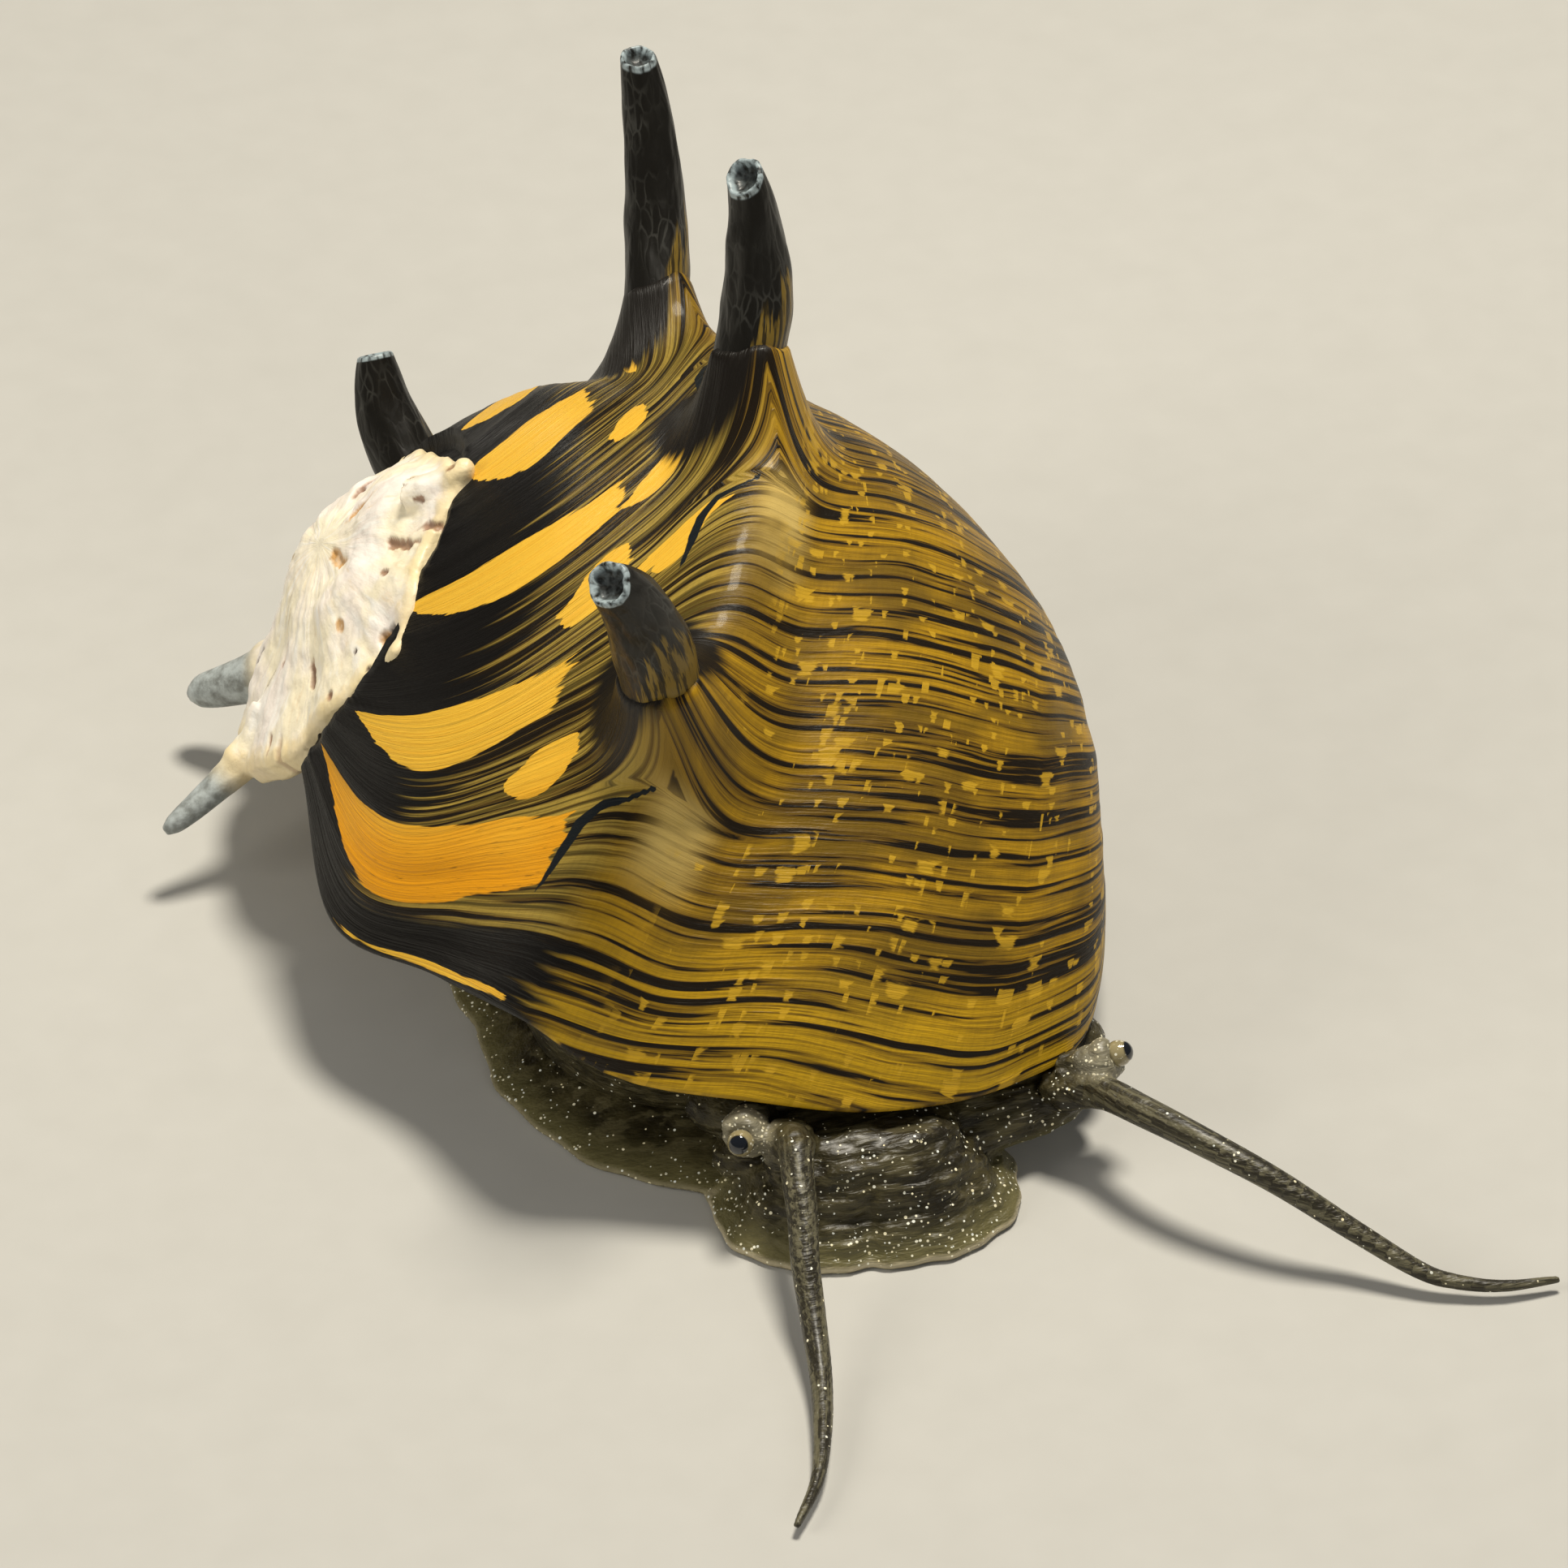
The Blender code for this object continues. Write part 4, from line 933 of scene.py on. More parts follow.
def horn_material():
    material, tree, shader = new_material("dark netted horn", 0.42, coat=0.12, coat_roughness=0.2, ior=1.38)
    place = put(tree, "ShaderNodeAttribute", attribute_name="horn_place").outputs["Vector"]
    stretched = put(tree, "ShaderNodeMapping", {0: place, 3: (3.6, 3.6, 1.5)}).outputs[0]
    wander = put(tree, "ShaderNodeVectorMath", {0: put(tree, "ShaderNodeTexNoise", {
        "Vector": stretched, "Scale": 0.9, "Detail": 2.0}).outputs["Color"], 1: (0.9, 0.9, 0.9)},
        operation="MULTIPLY").outputs[0]
    moved = put(tree, "ShaderNodeVectorMath", {0: stretched, 1: wander}, operation="ADD").outputs[0]
    net = put(tree, "ShaderNodeTexVoronoi", {"Vector": moved, "Scale": 1.0},
              feature="DISTANCE_TO_EDGE").outputs["Distance"]
    where = grain(tree, place, scale=0.9, detail=2.0)
    threads = sum_of(tree, "MULTIPLY", cut(tree, net, 0.11, 0.02), cut(tree, where, 0.40, 0.66))
    parts = put(tree, "ShaderNodeSeparateXYZ", {0: place})
    up = parts.outputs[2]
    threads = sum_of(tree, "MULTIPLY", threads, cut(tree, up, 1.6, 2.8))
    base = mixed(tree, threads, HORN_BLACK, HORN_NET)
    lit_side = put(tree, "ShaderNodeAttribute", attribute_name="lit_side").outputs["Fac"]
    streak_place = put(tree, "ShaderNodeMapping", {0: place, 3: (3.2, 3.2, 0.22)}).outputs[0]
    # The olive streaks are the horn's own; keeping them low on the side away from the light leaves that side black as
    # painted shade.
    low = cut(tree, sum_of(tree, "SUBTRACT", up, sum_of(tree, "MULTIPLY", lit_side, 2.2)), 1.9, 0.1)
    streaks = sum_of(tree, "ADD", grain(tree, streak_place, scale=1.2, detail=3.0, rough=0.6), sum_of(
        tree, "MULTIPLY", low, 0.30))
    streaks = sum_of(tree, "MULTIPLY", cut(tree, streaks, 0.58, 0.66), cut(tree, low, 0.0, 0.2))
    dark_lines = grain(tree, streak_place, scale=2.6, detail=3.0, rough=0.65)
    streaks = sum_of(tree, "MULTIPLY", streaks, cut(tree, dark_lines, 0.44, 0.50, 0.15, 1.0))
    base = mixed(tree, streaks, base, HORN_OLIVE)
    tip = put(tree, "ShaderNodeAttribute", attribute_name="tip").outputs["Fac"]
    radial = grain(tree, put(tree, "ShaderNodeMapping", {0: place, 3: (6.0, 6.0, 2.0)}).outputs[0], detail=3.0)
    rim = sum_of(tree, "MULTIPLY", cut(tree, tip, 0.25, 0.8), cut(tree, radial, 0.30, 0.62))
    base = mixed(tree, rim, base, HORN_RIM)
    tree.links.new(base, shader.inputs["Base Color"])
    height = sum_of(tree, "ADD", sum_of(tree, "MULTIPLY", net, 0.8), sum_of(tree, "MULTIPLY", streaks, 0.3))
    bump = put(tree, "ShaderNodeBump", {"Strength": 0.6, "Distance": 0.00005, "Height": height})
    tree.links.new(bump.outputs[0], shader.inputs["Normal"])
    return material


HORN_FINISH = horn_material()
print("horn nodes:", len(HORN_FINISH.node_tree.nodes))

# %% The four horns
HORN_RINGS = 80
HORN_SIDES = 56
HORN_SUNK = 0.75
FOOT_WIDENING = 0.05
TIP_TURN_FROM = 0.7
PIT_PROFILE = [(0.99, 0.02, 0.8), (0.95, 0.055, 1.0), (0.87, 0.075, 1.0), (0.78, 0.05, 0.9), (0.71, -0.02, 0.7),
               (0.65, -0.09, 0.45), (0.55, -0.14, 0.4), (0.38, -0.18, 0.4), (0.18, -0.20, 0.35)]


def horn_line(horn, t):
    """Middle of a horn at a share of its length, and its direction there."""
    way, bow = horn["way"] * horn["length"], np.array(horn["bow"])
    start = HORN_FOOT / horn["length"]
    settle = bow * 4 * start * (1 - start) * (1 - t) / (1 - start)
    return horn["base"] + way * t + bow * 4 * t * (1 - t) - settle, unit(way + bow * 4 * (1 - 2 * t))


def widening(up):
    """A horn widens a little where it goes into the shell's flared foot."""
    return 1 + FOOT_WIDENING * math.exp(-max(up - HORN_FOOT + 0.3, 0) / 0.4)


def make_horn(name, horn):
    ups = np.r_[np.linspace(HORN_FOOT - HORN_SUNK, HORN_FOOT, 14)[:-1] - HORN_FOOT,
                np.linspace(0, horn["length"] - HORN_FOOT, HORN_RINGS - 13)] + HORN_FOOT
    facing = unit(horn["faces"])
    newer = horn["newer"]
    verts, place, lit_side_values, tips = [], [], [], []
    angles = 2 * math.pi * np.arange(HORN_SIDES) / HORN_SIDES
    seed = horn["back"] * 0.37

    def add_ring(centre, direction, radius, up, tip, wobble):
        direction = unit(direction)
        side = unit(newer - direction * (newer @ direction))
        other = np.cross(direction, side)
        for a in angles:
            c, s = math.cos(a), math.sin(a)
            bumps = noise.noise(Vector((c * 1.3 + seed, s * 1.3, up * 0.55)))
            bumps += 0.5 * noise.noise(Vector((c * 3.1, s * 3.1 + seed, up * 1.3)))
            bumps += 0.25 * noise.noise(Vector((c * 7.0, s * 7.0, up * 0.8 + seed)))
            r = radius * (1 + wobble * bumps)
            verts.append(centre + (side * c + other * s) * r)
            place.append((c * radius * 1.2, s * radius * 1.2, up))
            lit_side_values.append(float((side * c + other * s) @ horn["lit_side"]))
            tips.append(tip)

    for up in ups:
        share = max(up - HORN_FOOT, 0) / (horn["length"] - HORN_FOOT)
        centre, heading = horn_line(horn, max(up, HORN_FOOT) / horn["length"])
        if up < HORN_FOOT:
            centre = centre - horn["way"] * (HORN_FOOT - up)
            heading = horn["way"]
        radius = (horn["foot"] + (horn["tip"] - horn["foot"]) * share ** HORN_TAPER) * widening(up)
        turn = max(share - TIP_TURN_FROM, 0) / (1 - TIP_TURN_FROM)
        straight = smoothstep(0, 0.15, share)
        heading = unit(horn["way"] * (1 - straight) + heading * straight)
        add_ring(centre, heading * (1 - turn) + facing * turn, radius, up, smoothstep(0.975, 1.0, share),
                 0.02 + 0.08 * smoothstep(0, 0.2, share))
    last_up = horn["length"]
    for wide, rise, tip in PIT_PROFILE:
        add_ring(centre + facing * rise, facing, horn["tip"] * wide, last_up + rise, tip, 0.10 if rise > 0 else 0.22)
    rows = len(verts) // HORN_SIDES
    faces = grid_faces(rows, HORN_SIDES, round_columns=True).tolist()
    faces.append([(rows - 1) * HORN_SIDES + j for j in range(HORN_SIDES)])
    faces.append([j for j in reversed(range(HORN_SIDES))])
    flat = np.stack(np.meshgrid(np.linspace(0, 1, rows), np.linspace(0, 1, HORN_SIDES), indexing="ij"), -1)
    piece = make_mesh(name + "_skin", verts, faces, maps={"OFBake": flat.reshape(-1, 2) * 0.98 + 0.01},
                      values={"horn_place": place, "lit_side": lit_side_values, "tip": tips},
                      material=HORN_FINISH)
    claim(piece, "horn", name)
    return piece


for name, horn in HORNS.items():
    piece = make_horn(name, horn)
    print(name, len(piece.data.polygons), "faces")

# %% [markdown]
# The oldest turns are worn down to a chalky patch: the dark skin of the shell is gone
# and the lime under it is eaten into soft lumps, pits and cracks, with the stubs of
# three worn horns. A dome and the stubs are joined, meshed evenly by a voxel remesh,
# and then pushed in and out by noise of several sizes. Blender's remesh can't work
# finer than a tenth of a unit, so the piece is made with one unit to the millimetre.

# %% Joining soft lumps into one even mesh
def lofted(rings):
    """Points and faces of a closed form through rings of equal count."""
    rings = [np.asarray(r, float) for r in rings]
    n = len(rings[0])
    verts = np.vstack(rings)
    faces = grid_faces(len(rings), n, round_columns=True).tolist()
    faces.append([j for j in reversed(range(n))])
    faces.append([(len(rings) - 1) * n + j for j in range(n)])
    return verts, faces


def tube(path, radii, sides=24, flatten=1.0):
    path = np.asarray(path, float)
    ways = np.gradient(path, axis=0)
    side = unit(np.cross(ways[0], (0.13, 0.21, 0.97)))
    rings = []
    for centre, way, radius in zip(path, ways, radii):
        way = unit(way)
        side = unit(side - way * (side @ way))
        up = np.cross(side, way)
        t = 2 * math.pi * np.arange(sides)[:, None] / sides
        rings.append(centre + radius * (np.cos(t) * side + np.sin(t) * up * flatten))
    return lofted(rings)


def remeshed(forms, voxel, smooth_steps):
    """One even surface over several closed forms, as points and faces in millimetres."""
    mesh = bpy.data.meshes.new("forms")
    verts, faces = [], []
    for v, f in forms:
        faces.extend([[i + len(verts) for i in face] for face in f])
        verts.extend(v.tolist())
    mesh.from_pydata(verts, [], faces)
    work = bmesh.new()
    work.from_mesh(mesh)
    bmesh.ops.recalc_face_normals(work, faces=work.faces)
    work.to_mesh(mesh)
    work.free()
    thing = bpy.data.objects.new("forms", mesh)
    bpy.context.collection.objects.link(thing)
    join = thing.modifiers.new("join", "REMESH")
    join.mode = "VOXEL"
    join.voxel_size = voxel
    soften = thing.modifiers.new("soften", "SMOOTH")
    soften.factor = 0.5
    soften.iterations = smooth_steps
    bpy.context.view_layer.update()
    done = bpy.data.meshes.new_from_object(thing.evaluated_get(bpy.context.evaluated_depsgraph_get()))
    points = np.empty(len(done.vertices) * 3)
    done.vertices.foreach_get("co", points)
    normals = np.empty(len(done.vertices) * 3)
    done.vertices.foreach_get("normal", normals)
    faces = [tuple(p.vertices) for p in done.polygons]
    bpy.data.objects.remove(thing, do_unlink=True)
    bpy.data.meshes.remove(done)
    bpy.data.meshes.remove(mesh)
    return points.reshape(-1, 3), normals.reshape(-1, 3), faces


def noise_at(points, scale, octaves=1, seed=0.0):
    """Blender's own noise at many points, between about -1 and 1."""
    shift = Vector((seed, seed * 1.7, -seed))
    if octaves == 1:
        return np.array([noise.noise(Vector(p) * scale + shift) for p in points])
    return np.array([noise.fractal(Vector(p) * scale + shift, 1.0, 2.0, octaves) for p in points])


print("remesh helper ready")

# %% The worn patch
def drawn_edge():
    """The patch's real edge: the smooth one, spread out a little, scalloped and drawn in."""
    away = cap_edge - cap_middle
    away /= np.linalg.norm(away, axis=1)[:, None]
    waves = sum(deep * np.sin(np.radians(CAP_BACKS) * count + phase) for count, deep, phase in SCALLOPS)
    angles, distances = zip(*DRAWN_IN)
    waves = waves - np.interp(CAP_BACKS, angles, distances)
    return cap_edge + away * (CAP_SPREAD + waves[:, None])


def worn_patch_forms():
    dip = cap_dip(CAP_BACKS)[:, None]
    rings = [cap_middle + (worn_edge - cap_middle) * 0.80 - AXIS * (1.3 + dip), worn_edge - AXIS * (0.45 + dip),
             worn(worn_edge - AXIS * dip)]
    rings += [worn(cap_point(worn_edge, share, dip)) for share in np.linspace(0.96, 0.05, 24)]
    forms = [lofted(rings)]
    for stub in STUBS:
        root = cap_point(cap_rim(stub["back"]), 1, cap_dip(stub["back"]))
        inside = unit(cap_middle + AXIS * stub["lift"] - root)
        heading = unit(stub["along"])
        path = smooth_path([root + inside * 1.5, root + inside * 0.3, root + heading * stub["length"] * 0.5,
                            root + heading * stub["length"]], 16)
        widths = stub["radius"] * np.interp(np.linspace(0, 1, 16), [0, 0.35, 0.6, 0.85, 0.95, 1],
                                            [1.5, 1.4, 1.05, 0.85, 0.68, 0.35])
        forms.append(tube(path, widths, 24))
    return forms


WORN_VOXEL = 0.06
worn_edge = drawn_edge()
cap_points, cap_normals, cap_faces = remeshed(worn_patch_forms(), WORN_VOXEL, 4)
print("worn patch", len(cap_points), "points")

# %% [markdown]
# What wear has done to the patch: soft ridges and narrow cracks that run outwards
# along the old growth lines, a rolled edge, and a few hollows that stand out and are
# placed one by one. Near its top end the dark skin is still there. Every point keeps
# its place on the patch, so relief and colour come from the same numbers.

# %% Relief of the worn patch
HOLLOWS = [  # angle back, share of the way out, half length, half width, depth in mm, kind
    (41, 0.96, 0.26, 0.28, 0.32, "amber"), (45, 0.95, 0.13, 0.16, 0.22, "dark"),
    (3, 0.62, 0.42, 0.13, 0.14, "brown"), (321, 0.67, 0.55, 0.06, 0.10, "dark"),
    (334, 0.49, 0.30, 0.05, 0.07, "brown"), (300, 0.74, 0.45, 0.17, 0.16, "dark"),
    (50, 0.20, 0.50, 0.15, 0.10, "amber"), (120, 0.30, 0.40, 0.12, 0.08, "amber"),
    (28, 0.60, 0.25, 0.16, 0.05, "amber"), (72, 0.72, 0.62, 0.15, 0.11, "brown"),
    (79, 0.90, 0.45, 0.11, 0.09, "brown"), (58, 0.72, 0.20, 0.08, 0.07, "brown"),
    (95, 0.70, 0.34, 0.05, 0.06, "brown"), (101, 0.74, 0.24, 0.04, 0.05, "brown"),
    (89, 0.80, 0.16, 0.05, 0.05, "brown"), (97, 1.00, 0.16, 0.09, 0.07, "brown"),
    (31, 0.82, 0.09, 0.07, 0.06, "dark"), (33, 0.98, 0.16, 0.09, 0.08, "dark"),
    (18, 0.88, 0.20, 0.10, 0.08, "brown"), (345, 0.86, 0.28, 0.06, 0.07, "brown"),
    (150, 0.55, 0.30, 0.07, 0.07, "brown"), (190, 0.62, 0.55, 0.16, 0.12, "brown"),
    (214, 0.80, 0.35, 0.22, 0.14, "amber"), (236, 0.48, 0.50, 0.12, 0.10, "brown"),
    (258, 0.75, 0.40, 0.14, 0.12, "dark"), (272, 0.40, 0.35, 0.10, 0.08, "amber")]

from_middle = cap_points - cap_middle
edge_away = worn_edge - cap_middle
cap_other = np.cross(AXIS, CAP_SIDE)
turn_of_edge = np.unwrap(np.arctan2(edge_away @ cap_other, edge_away @ CAP_SIDE))
patch_turn = np.arctan2(from_middle @ cap_other, from_middle @ CAP_SIDE)
patch_turn = turn_of_edge[0] + np.mod(patch_turn - turn_of_edge[0], 2 * math.pi)
edge_radius = np.hypot(edge_away @ cap_other, edge_away @ CAP_SIDE)
wrapped_turn = np.r_[turn_of_edge, turn_of_edge[0] + 2 * math.pi]
patch_radius = np.hypot(from_middle @ cap_other, from_middle @ CAP_SIDE)
patch_share = patch_radius / np.interp(patch_turn, wrapped_turn, np.r_[edge_radius, edge_radius[0]])
patch_back = np.interp(patch_turn, wrapped_turn, np.arange(CAP_POINTS + 1) * 2.0)
on_top = smoothstep(-0.1, 0.5, cap_normals @ AXIS)
stub_near = np.zeros(len(cap_points))
for stub in STUBS[1:]:
    root = cap_point(cap_rim(stub["back"]), 1, cap_dip(stub["back"]))
    past_root = (cap_points - root) @ unit(stub["along"])
    aside = np.linalg.norm(cap_points - root - past_root[:, None] * unit(stub["along"]), axis=1)
    stub_near = np.maximum(stub_near, smoothstep(0.0, 0.9, past_root) * smoothstep(1.5, 0.9, aside))
calm = 1 - 0.85 * stub_near

streaky = plane_noise(patch_back / 11.0, patch_share * 2.4, 53) + 0.5 * plane_noise(patch_back / 5.0, patch_share * 4.5, 54)
soft_lumps = noise_at(cap_points, 0.75, 3, 3.0)
small_lumps = noise_at(cap_points, 2.6, 2, 11.0)
narrow = plane_noise(patch_back / 3.4, patch_share * 3.0, 55)
where_cracked = smoothstep(0.0, 0.5, plane_noise(patch_back / 23.0, patch_share * 2.0, 56))
cracks = smoothstep(0.62, 0.86, narrow) * where_cracked * smoothstep(0.12, 0.3, patch_share)
height = 0.065 * soft_lumps + 0.04 * streaky * smoothstep(0.05, 0.3, patch_share) + 0.034 * small_lumps
height += 0.07 * np.exp(-((patch_share - 0.97) / 0.045) ** 2) - 0.06 * cracks
brown_mark, amber_mark, dark_mark = cracks * 0.55, np.zeros(len(cap_points)), np.zeros(len(cap_points))
for back, share, long, wide, deep, kind in HOLLOWS:
    rim_point = cap_rim(back)
    spoke = unit(rim_point - cap_middle)
    offset = cap_points - cap_point(rim_point, share, cap_dip(back))
    along_spoke, across_spoke = offset @ spoke, offset @ np.cross(AXIS, spoke)
    ragged_edge = 0.75 * noise_at(offset, 3.5, 2, back)
    inside = np.sqrt((along_spoke / long) ** 2 + (across_spoke / wide) ** 2) + ragged_edge
    inside = np.where(np.abs(offset @ AXIS) < 1.0, inside, 9)
    height -= deep * smoothstep(1.15, 0.35, inside)
    mark = smoothstep(1.10, 0.75, inside)
    if kind == "brown":
        brown_mark = np.maximum(brown_mark, mark)
    elif kind == "amber":
        amber_mark = np.maximum(amber_mark, mark)
    else:
        dark_mark = np.maximum(dark_mark, mark)
cap_points = cap_points + cap_normals * (height * calm * (0.35 + 0.65 * on_top))[:, None]
print("relief from", round(float(height.min()), 2), "to", round(float(height.max()), 2), "mm")


# %% Material of the worn patch
def worn_material():
    material, tree, shader = new_material("chalky worn shell", 0.50, coat=0.25, coat_roughness=0.3)

    def value(name):
        return put(tree, "ShaderNodeAttribute", attribute_name=name).outputs["Fac"]

    place = put(tree, "ShaderNodeAttribute", attribute_name="place").outputs["Vector"]
    spokes = put(tree, "ShaderNodeAttribute", attribute_name="spokes").outputs["Vector"]
    broad = grain(tree, place, scale=0.55, detail=3.0)
    fine = grain(tree, place, scale=3.0, detail=4.0, rough=0.6)
    streaks = grain(tree, spokes, scale=1.0, detail=4.0, rough=0.62)
    base = mixed(tree, cut(tree, broad, 0.36, 0.60), colour(0.93, 0.84, 0.76), colour(0.93, 0.84, 0.62))
    base = mixed(tree, cut(tree, streaks, 0.46, 0.72), base, colour(0.96, 0.93, 0.86))
    base = mixed(tree, sum_of(tree, "MULTIPLY", cut(tree, streaks, 0.42, 0.30), 0.5), base,
                 colour(0.80, 0.62, 0.38))
    share = sum_of(tree, "ADD", value("share"), sum_of(tree, "MULTIPLY", sum_of(
        tree, "SUBTRACT", fine, 0.5), 0.16))
    base = mixed(tree, sum_of(tree, "MULTIPLY", cut(tree, share, 0.88, 0.99), 0.75), base,
                 colour(0.83, 0.66, 0.34))
    amber = sum_of(tree, "MULTIPLY", value("amber"), cut(tree, fine, 0.20, 0.60, 0.45, 1.0))
    base = mixed(tree, amber, base, colour(0.60, 0.34, 0.12))
    base = mixed(tree, sum_of(tree, "MULTIPLY", value("brown"), 0.85), base, mixed(
        tree, fine, colour(0.42, 0.20, 0.10), colour(0.16, 0.07, 0.035)))
    base = mixed(tree, sum_of(tree, "MULTIPLY", value("dark"), 0.92), base, colour(0.055, 0.028, 0.020))
    base = mixed(tree, sum_of(tree, "MULTIPLY", value("stub"), 0.92), base, mixed(
        tree, cut(tree, fine, 0.30, 0.70), colour(0.13, 0.155, 0.165), colour(0.42, 0.48, 0.50)))
    tree.links.new(base, shader.inputs["Base Color"])
    relief = sum_of(tree, "ADD", fine, sum_of(tree, "MULTIPLY", streaks, 0.8))
    bump = put(tree, "ShaderNodeBump", {"Strength": 0.5, "Distance": 0.00008, "Height": relief})
    tree.links.new(bump.outputs[0], shader.inputs["Normal"])
    return material


spokes = np.stack([patch_back / 6.5, patch_share * 3.2, 0 * patch_share], 1)
worn_patch = make_mesh("worn_patch", cap_points, cap_faces, material=worn_material(),
                       values={"place": cap_points, "spokes": spokes, "share": patch_share, "amber": amber_mark,
                               "brown": brown_mark, "dark": dark_mark, "stub": stub_near})
claim(worn_patch, "worn_shell", "shell_spire")
print("worn patch faces", len(worn_patch.data.polygons))

# %% [markdown]
# The soft body is one skin: the sole with its thin edge, the broad snout pressed to the
# floor, the neck, the collar of mantle that shows under the lip, the two feelers and
# the short stalks of the eyes. In life it has no seams, so all forms are run together
# by the same voxel remesh, which also rounds the corners where they meet.

# %% Forms of the soft body
FOOT_CENTRE = (0.3, -0.8)
SNOUT_CENTRE = (0.5, -9.0)
SNOUT_TURN = math.radians(-6)
FEELER_LINES = {
    "right": [(-1.35, -9.5, 2.2), (-1.4, -10.2, 2.65), (-1.55, -10.9, 2.5), (-1.7, -11.8, 2.1),
              (-1.9, -12.7, 1.6), (-2.05, -13.8, 1.05), (-2.3, -15.3, 0.6), (-2.7, -16.8, 0.42),
              (-3.2, -18.1, 0.34), (-4.0, -19.3, 0.3)],
    "left": [(5.1, -8.7, 1.7), (5.75, -9.65, 2.2), (6.4, -10.9, 2.45), (7.3, -12.1, 2.4),
             (8.6, -13.4, 2.0), (10.0, -14.5, 1.2), (11.2, -15.5, 0.6), (11.9, -15.9, 0.42),
             (12.9, -16.25, 0.34), (14.2, -16.35, 0.3)]}
STALKS = {"right": ((-1.7, -8.3, 2.0), (-2.3, -9.25, 2.45)), "left": ((5.2, -8.7, 2.0), (6.1, -9.05, 2.55))}
EYE_RADIUS = 0.3


def oval(angles, half, front, back, power):
    c, s = np.cos(angles), np.sin(angles)
    long = np.where(s < 0, front, back)
    r = (np.abs(c / half) ** power + np.abs(s / long) ** power) ** (-1 / power)
    return r * c, r * s


def low_dome(centre, outline, profile, sides, turn=0.0):
    """A low form on the floor: the outline shrunk by each share and set at each height."""
    x, y = outline(2 * math.pi * np.arange(sides) / sides)
    c, s = math.cos(turn), math.sin(turn)
    rings = [np.stack([centre[0] + (x * c - y * s) * share, centre[1] + (x * s + y * c) * share,
                       np.full(sides, level)], 1) for share, level in profile]
    return lofted(rings)


def sole_outline(angles):
    x, y = oval(angles, 6.9, 8.2, 9.4, 2.4)
    ruffle = 1 + 0.012 * np.sin(7 * angles + 1) + 0.009 * np.sin(13 * angles) + 0.005 * np.sin(29 * angles)
    return x * ruffle, y * ruffle


def snout_outline(angles):
    x, y = oval(angles, 3.5, 2.8, 1.5, 2.5)
    notch = 1 - 0.06 * np.exp(-((angles - 4.62) / 0.10) ** 2)
    ruffle = notch + 0.012 * np.sin(11 * angles) + 0.008 * np.sin(23 * angles + 1)
    return x * ruffle, y * ruffle


SOLE_PROFILE = [(0.5, 0.0), (0.97, 0.0), (1.0, 0.10), (0.99, 0.22), (0.95, 0.33), (0.88, 0.52),
                (0.78, 0.85), (0.66, 1.15), (0.5, 1.3), (0.2, 1.32)]
SNOUT_PROFILE = [(0.5, 0.0), (0.97, 0.0), (1.0, 0.10), (0.985, 0.22), (0.93, 0.36), (0.85, 0.62),
                 (0.76, 1.05), (0.68, 1.55), (0.58, 2.0), (0.45, 2.25), (0.2, 2.32)]
MANTLE_PROFILE = [(0.95, 1.0), (1.0, 2.0), (1.0, 3.0), (0.92, 3.6), (0.6, 4.0)]


def ball(centre, radii, rows=14, sides=28):
    t = math.pi * np.arange(1, rows)[:, None] / rows
    a = 2 * math.pi * np.arange(sides)[None] / sides
    p = np.stack([centre[0] + radii[0] * np.sin(t) * np.cos(a), centre[1] + radii[1] * np.sin(t) * np.sin(a),
                  centre[2] - radii[2] * np.cos(t) + 0 * a], -1)
    return lofted(list(p))


collar_lip = smooth_path(LIP_CORNERS, at=np.linspace(0.27, 0.70, 60))
collar_in = np.array([0.5, -1.0, 0]) - collar_lip
collar_in[:, 2] = 0
collar_in /= np.linalg.norm(collar_in, axis=1)[:, None]
collar = collar_lip + collar_in * 0.75 + (0, 0, 0.05)
collar_width = 0.34 + 0.05 * np.sin(np.arange(60) * 0.9) * np.sin(np.arange(60) * 0.23)
forms = [low_dome(FOOT_CENTRE, sole_outline, SOLE_PROFILE, 240),
         low_dome(SNOUT_CENTRE, snout_outline, SNOUT_PROFILE, 160, SNOUT_TURN),
         low_dome((0.0, -2.2), lambda a: oval(a, 5.8, 4.9, 5.6, 2.4), MANTLE_PROFILE, 90),
         ball((1.6, -8.3, 1.15), (4.4, 1.35, 0.98)), ball((1.8, -7.2, 1.7), (4.9, 1.7, 1.35)),
         tube(collar, collar_width, 20)]
feeler_paths = {}
for side, corners in FEELER_LINES.items():
    path = smooth_path(corners, 120)
    feeler_paths[side] = path
    widths = np.interp(np.linspace(0, 1, 120), [0, 0.06, 0.12, 0.4, 0.7, 0.95, 1],
                       [0.62, 0.46, 0.38, 0.31, 0.23, 0.12, 0.09])
    forms.append(tube(path, widths, 18))
for side, (low, high) in STALKS.items():
    low, high = np.array(low), np.array(high)
    path = [low + (high - low) * t for t in np.linspace(0, 1.18, 9)]
    forms.append(tube(path, [0.5, 0.5, 0.5, 0.5, 0.5, 0.51, 0.52, 0.50, 0.40], 24))
FLESH_VOXEL = 0.065
skin, skin_normals, skin_faces = remeshed(forms, FLESH_VOXEL, 4)
print("soft body", len(skin), "points")

# %% [markdown]
# Folds and masks of the skin. The head is crossed by fine wrinkles, the feelers carry
# dark lines along their length, and the edges of the sole and the snout are thin and
# pale. Distances to the outlines and to the feelers' middle lines give each point
# what the material needs.

# %% Wrinkles and masks of the soft body
def outline_share(p, centre, outline, turn=0.0):
    """1 on the outline seen from above, 0 in the middle."""
    c, s = math.cos(-turn), math.sin(-turn)
    x, y = p[:, 0] - centre[0], p[:, 1] - centre[1]
    x, y = x * c - y * s, x * s + y * c
    angle = np.mod(np.arctan2(y, x), 2 * math.pi)
    ox, oy = outline(angle)
    return np.hypot(x, y) / np.hypot(ox, oy)


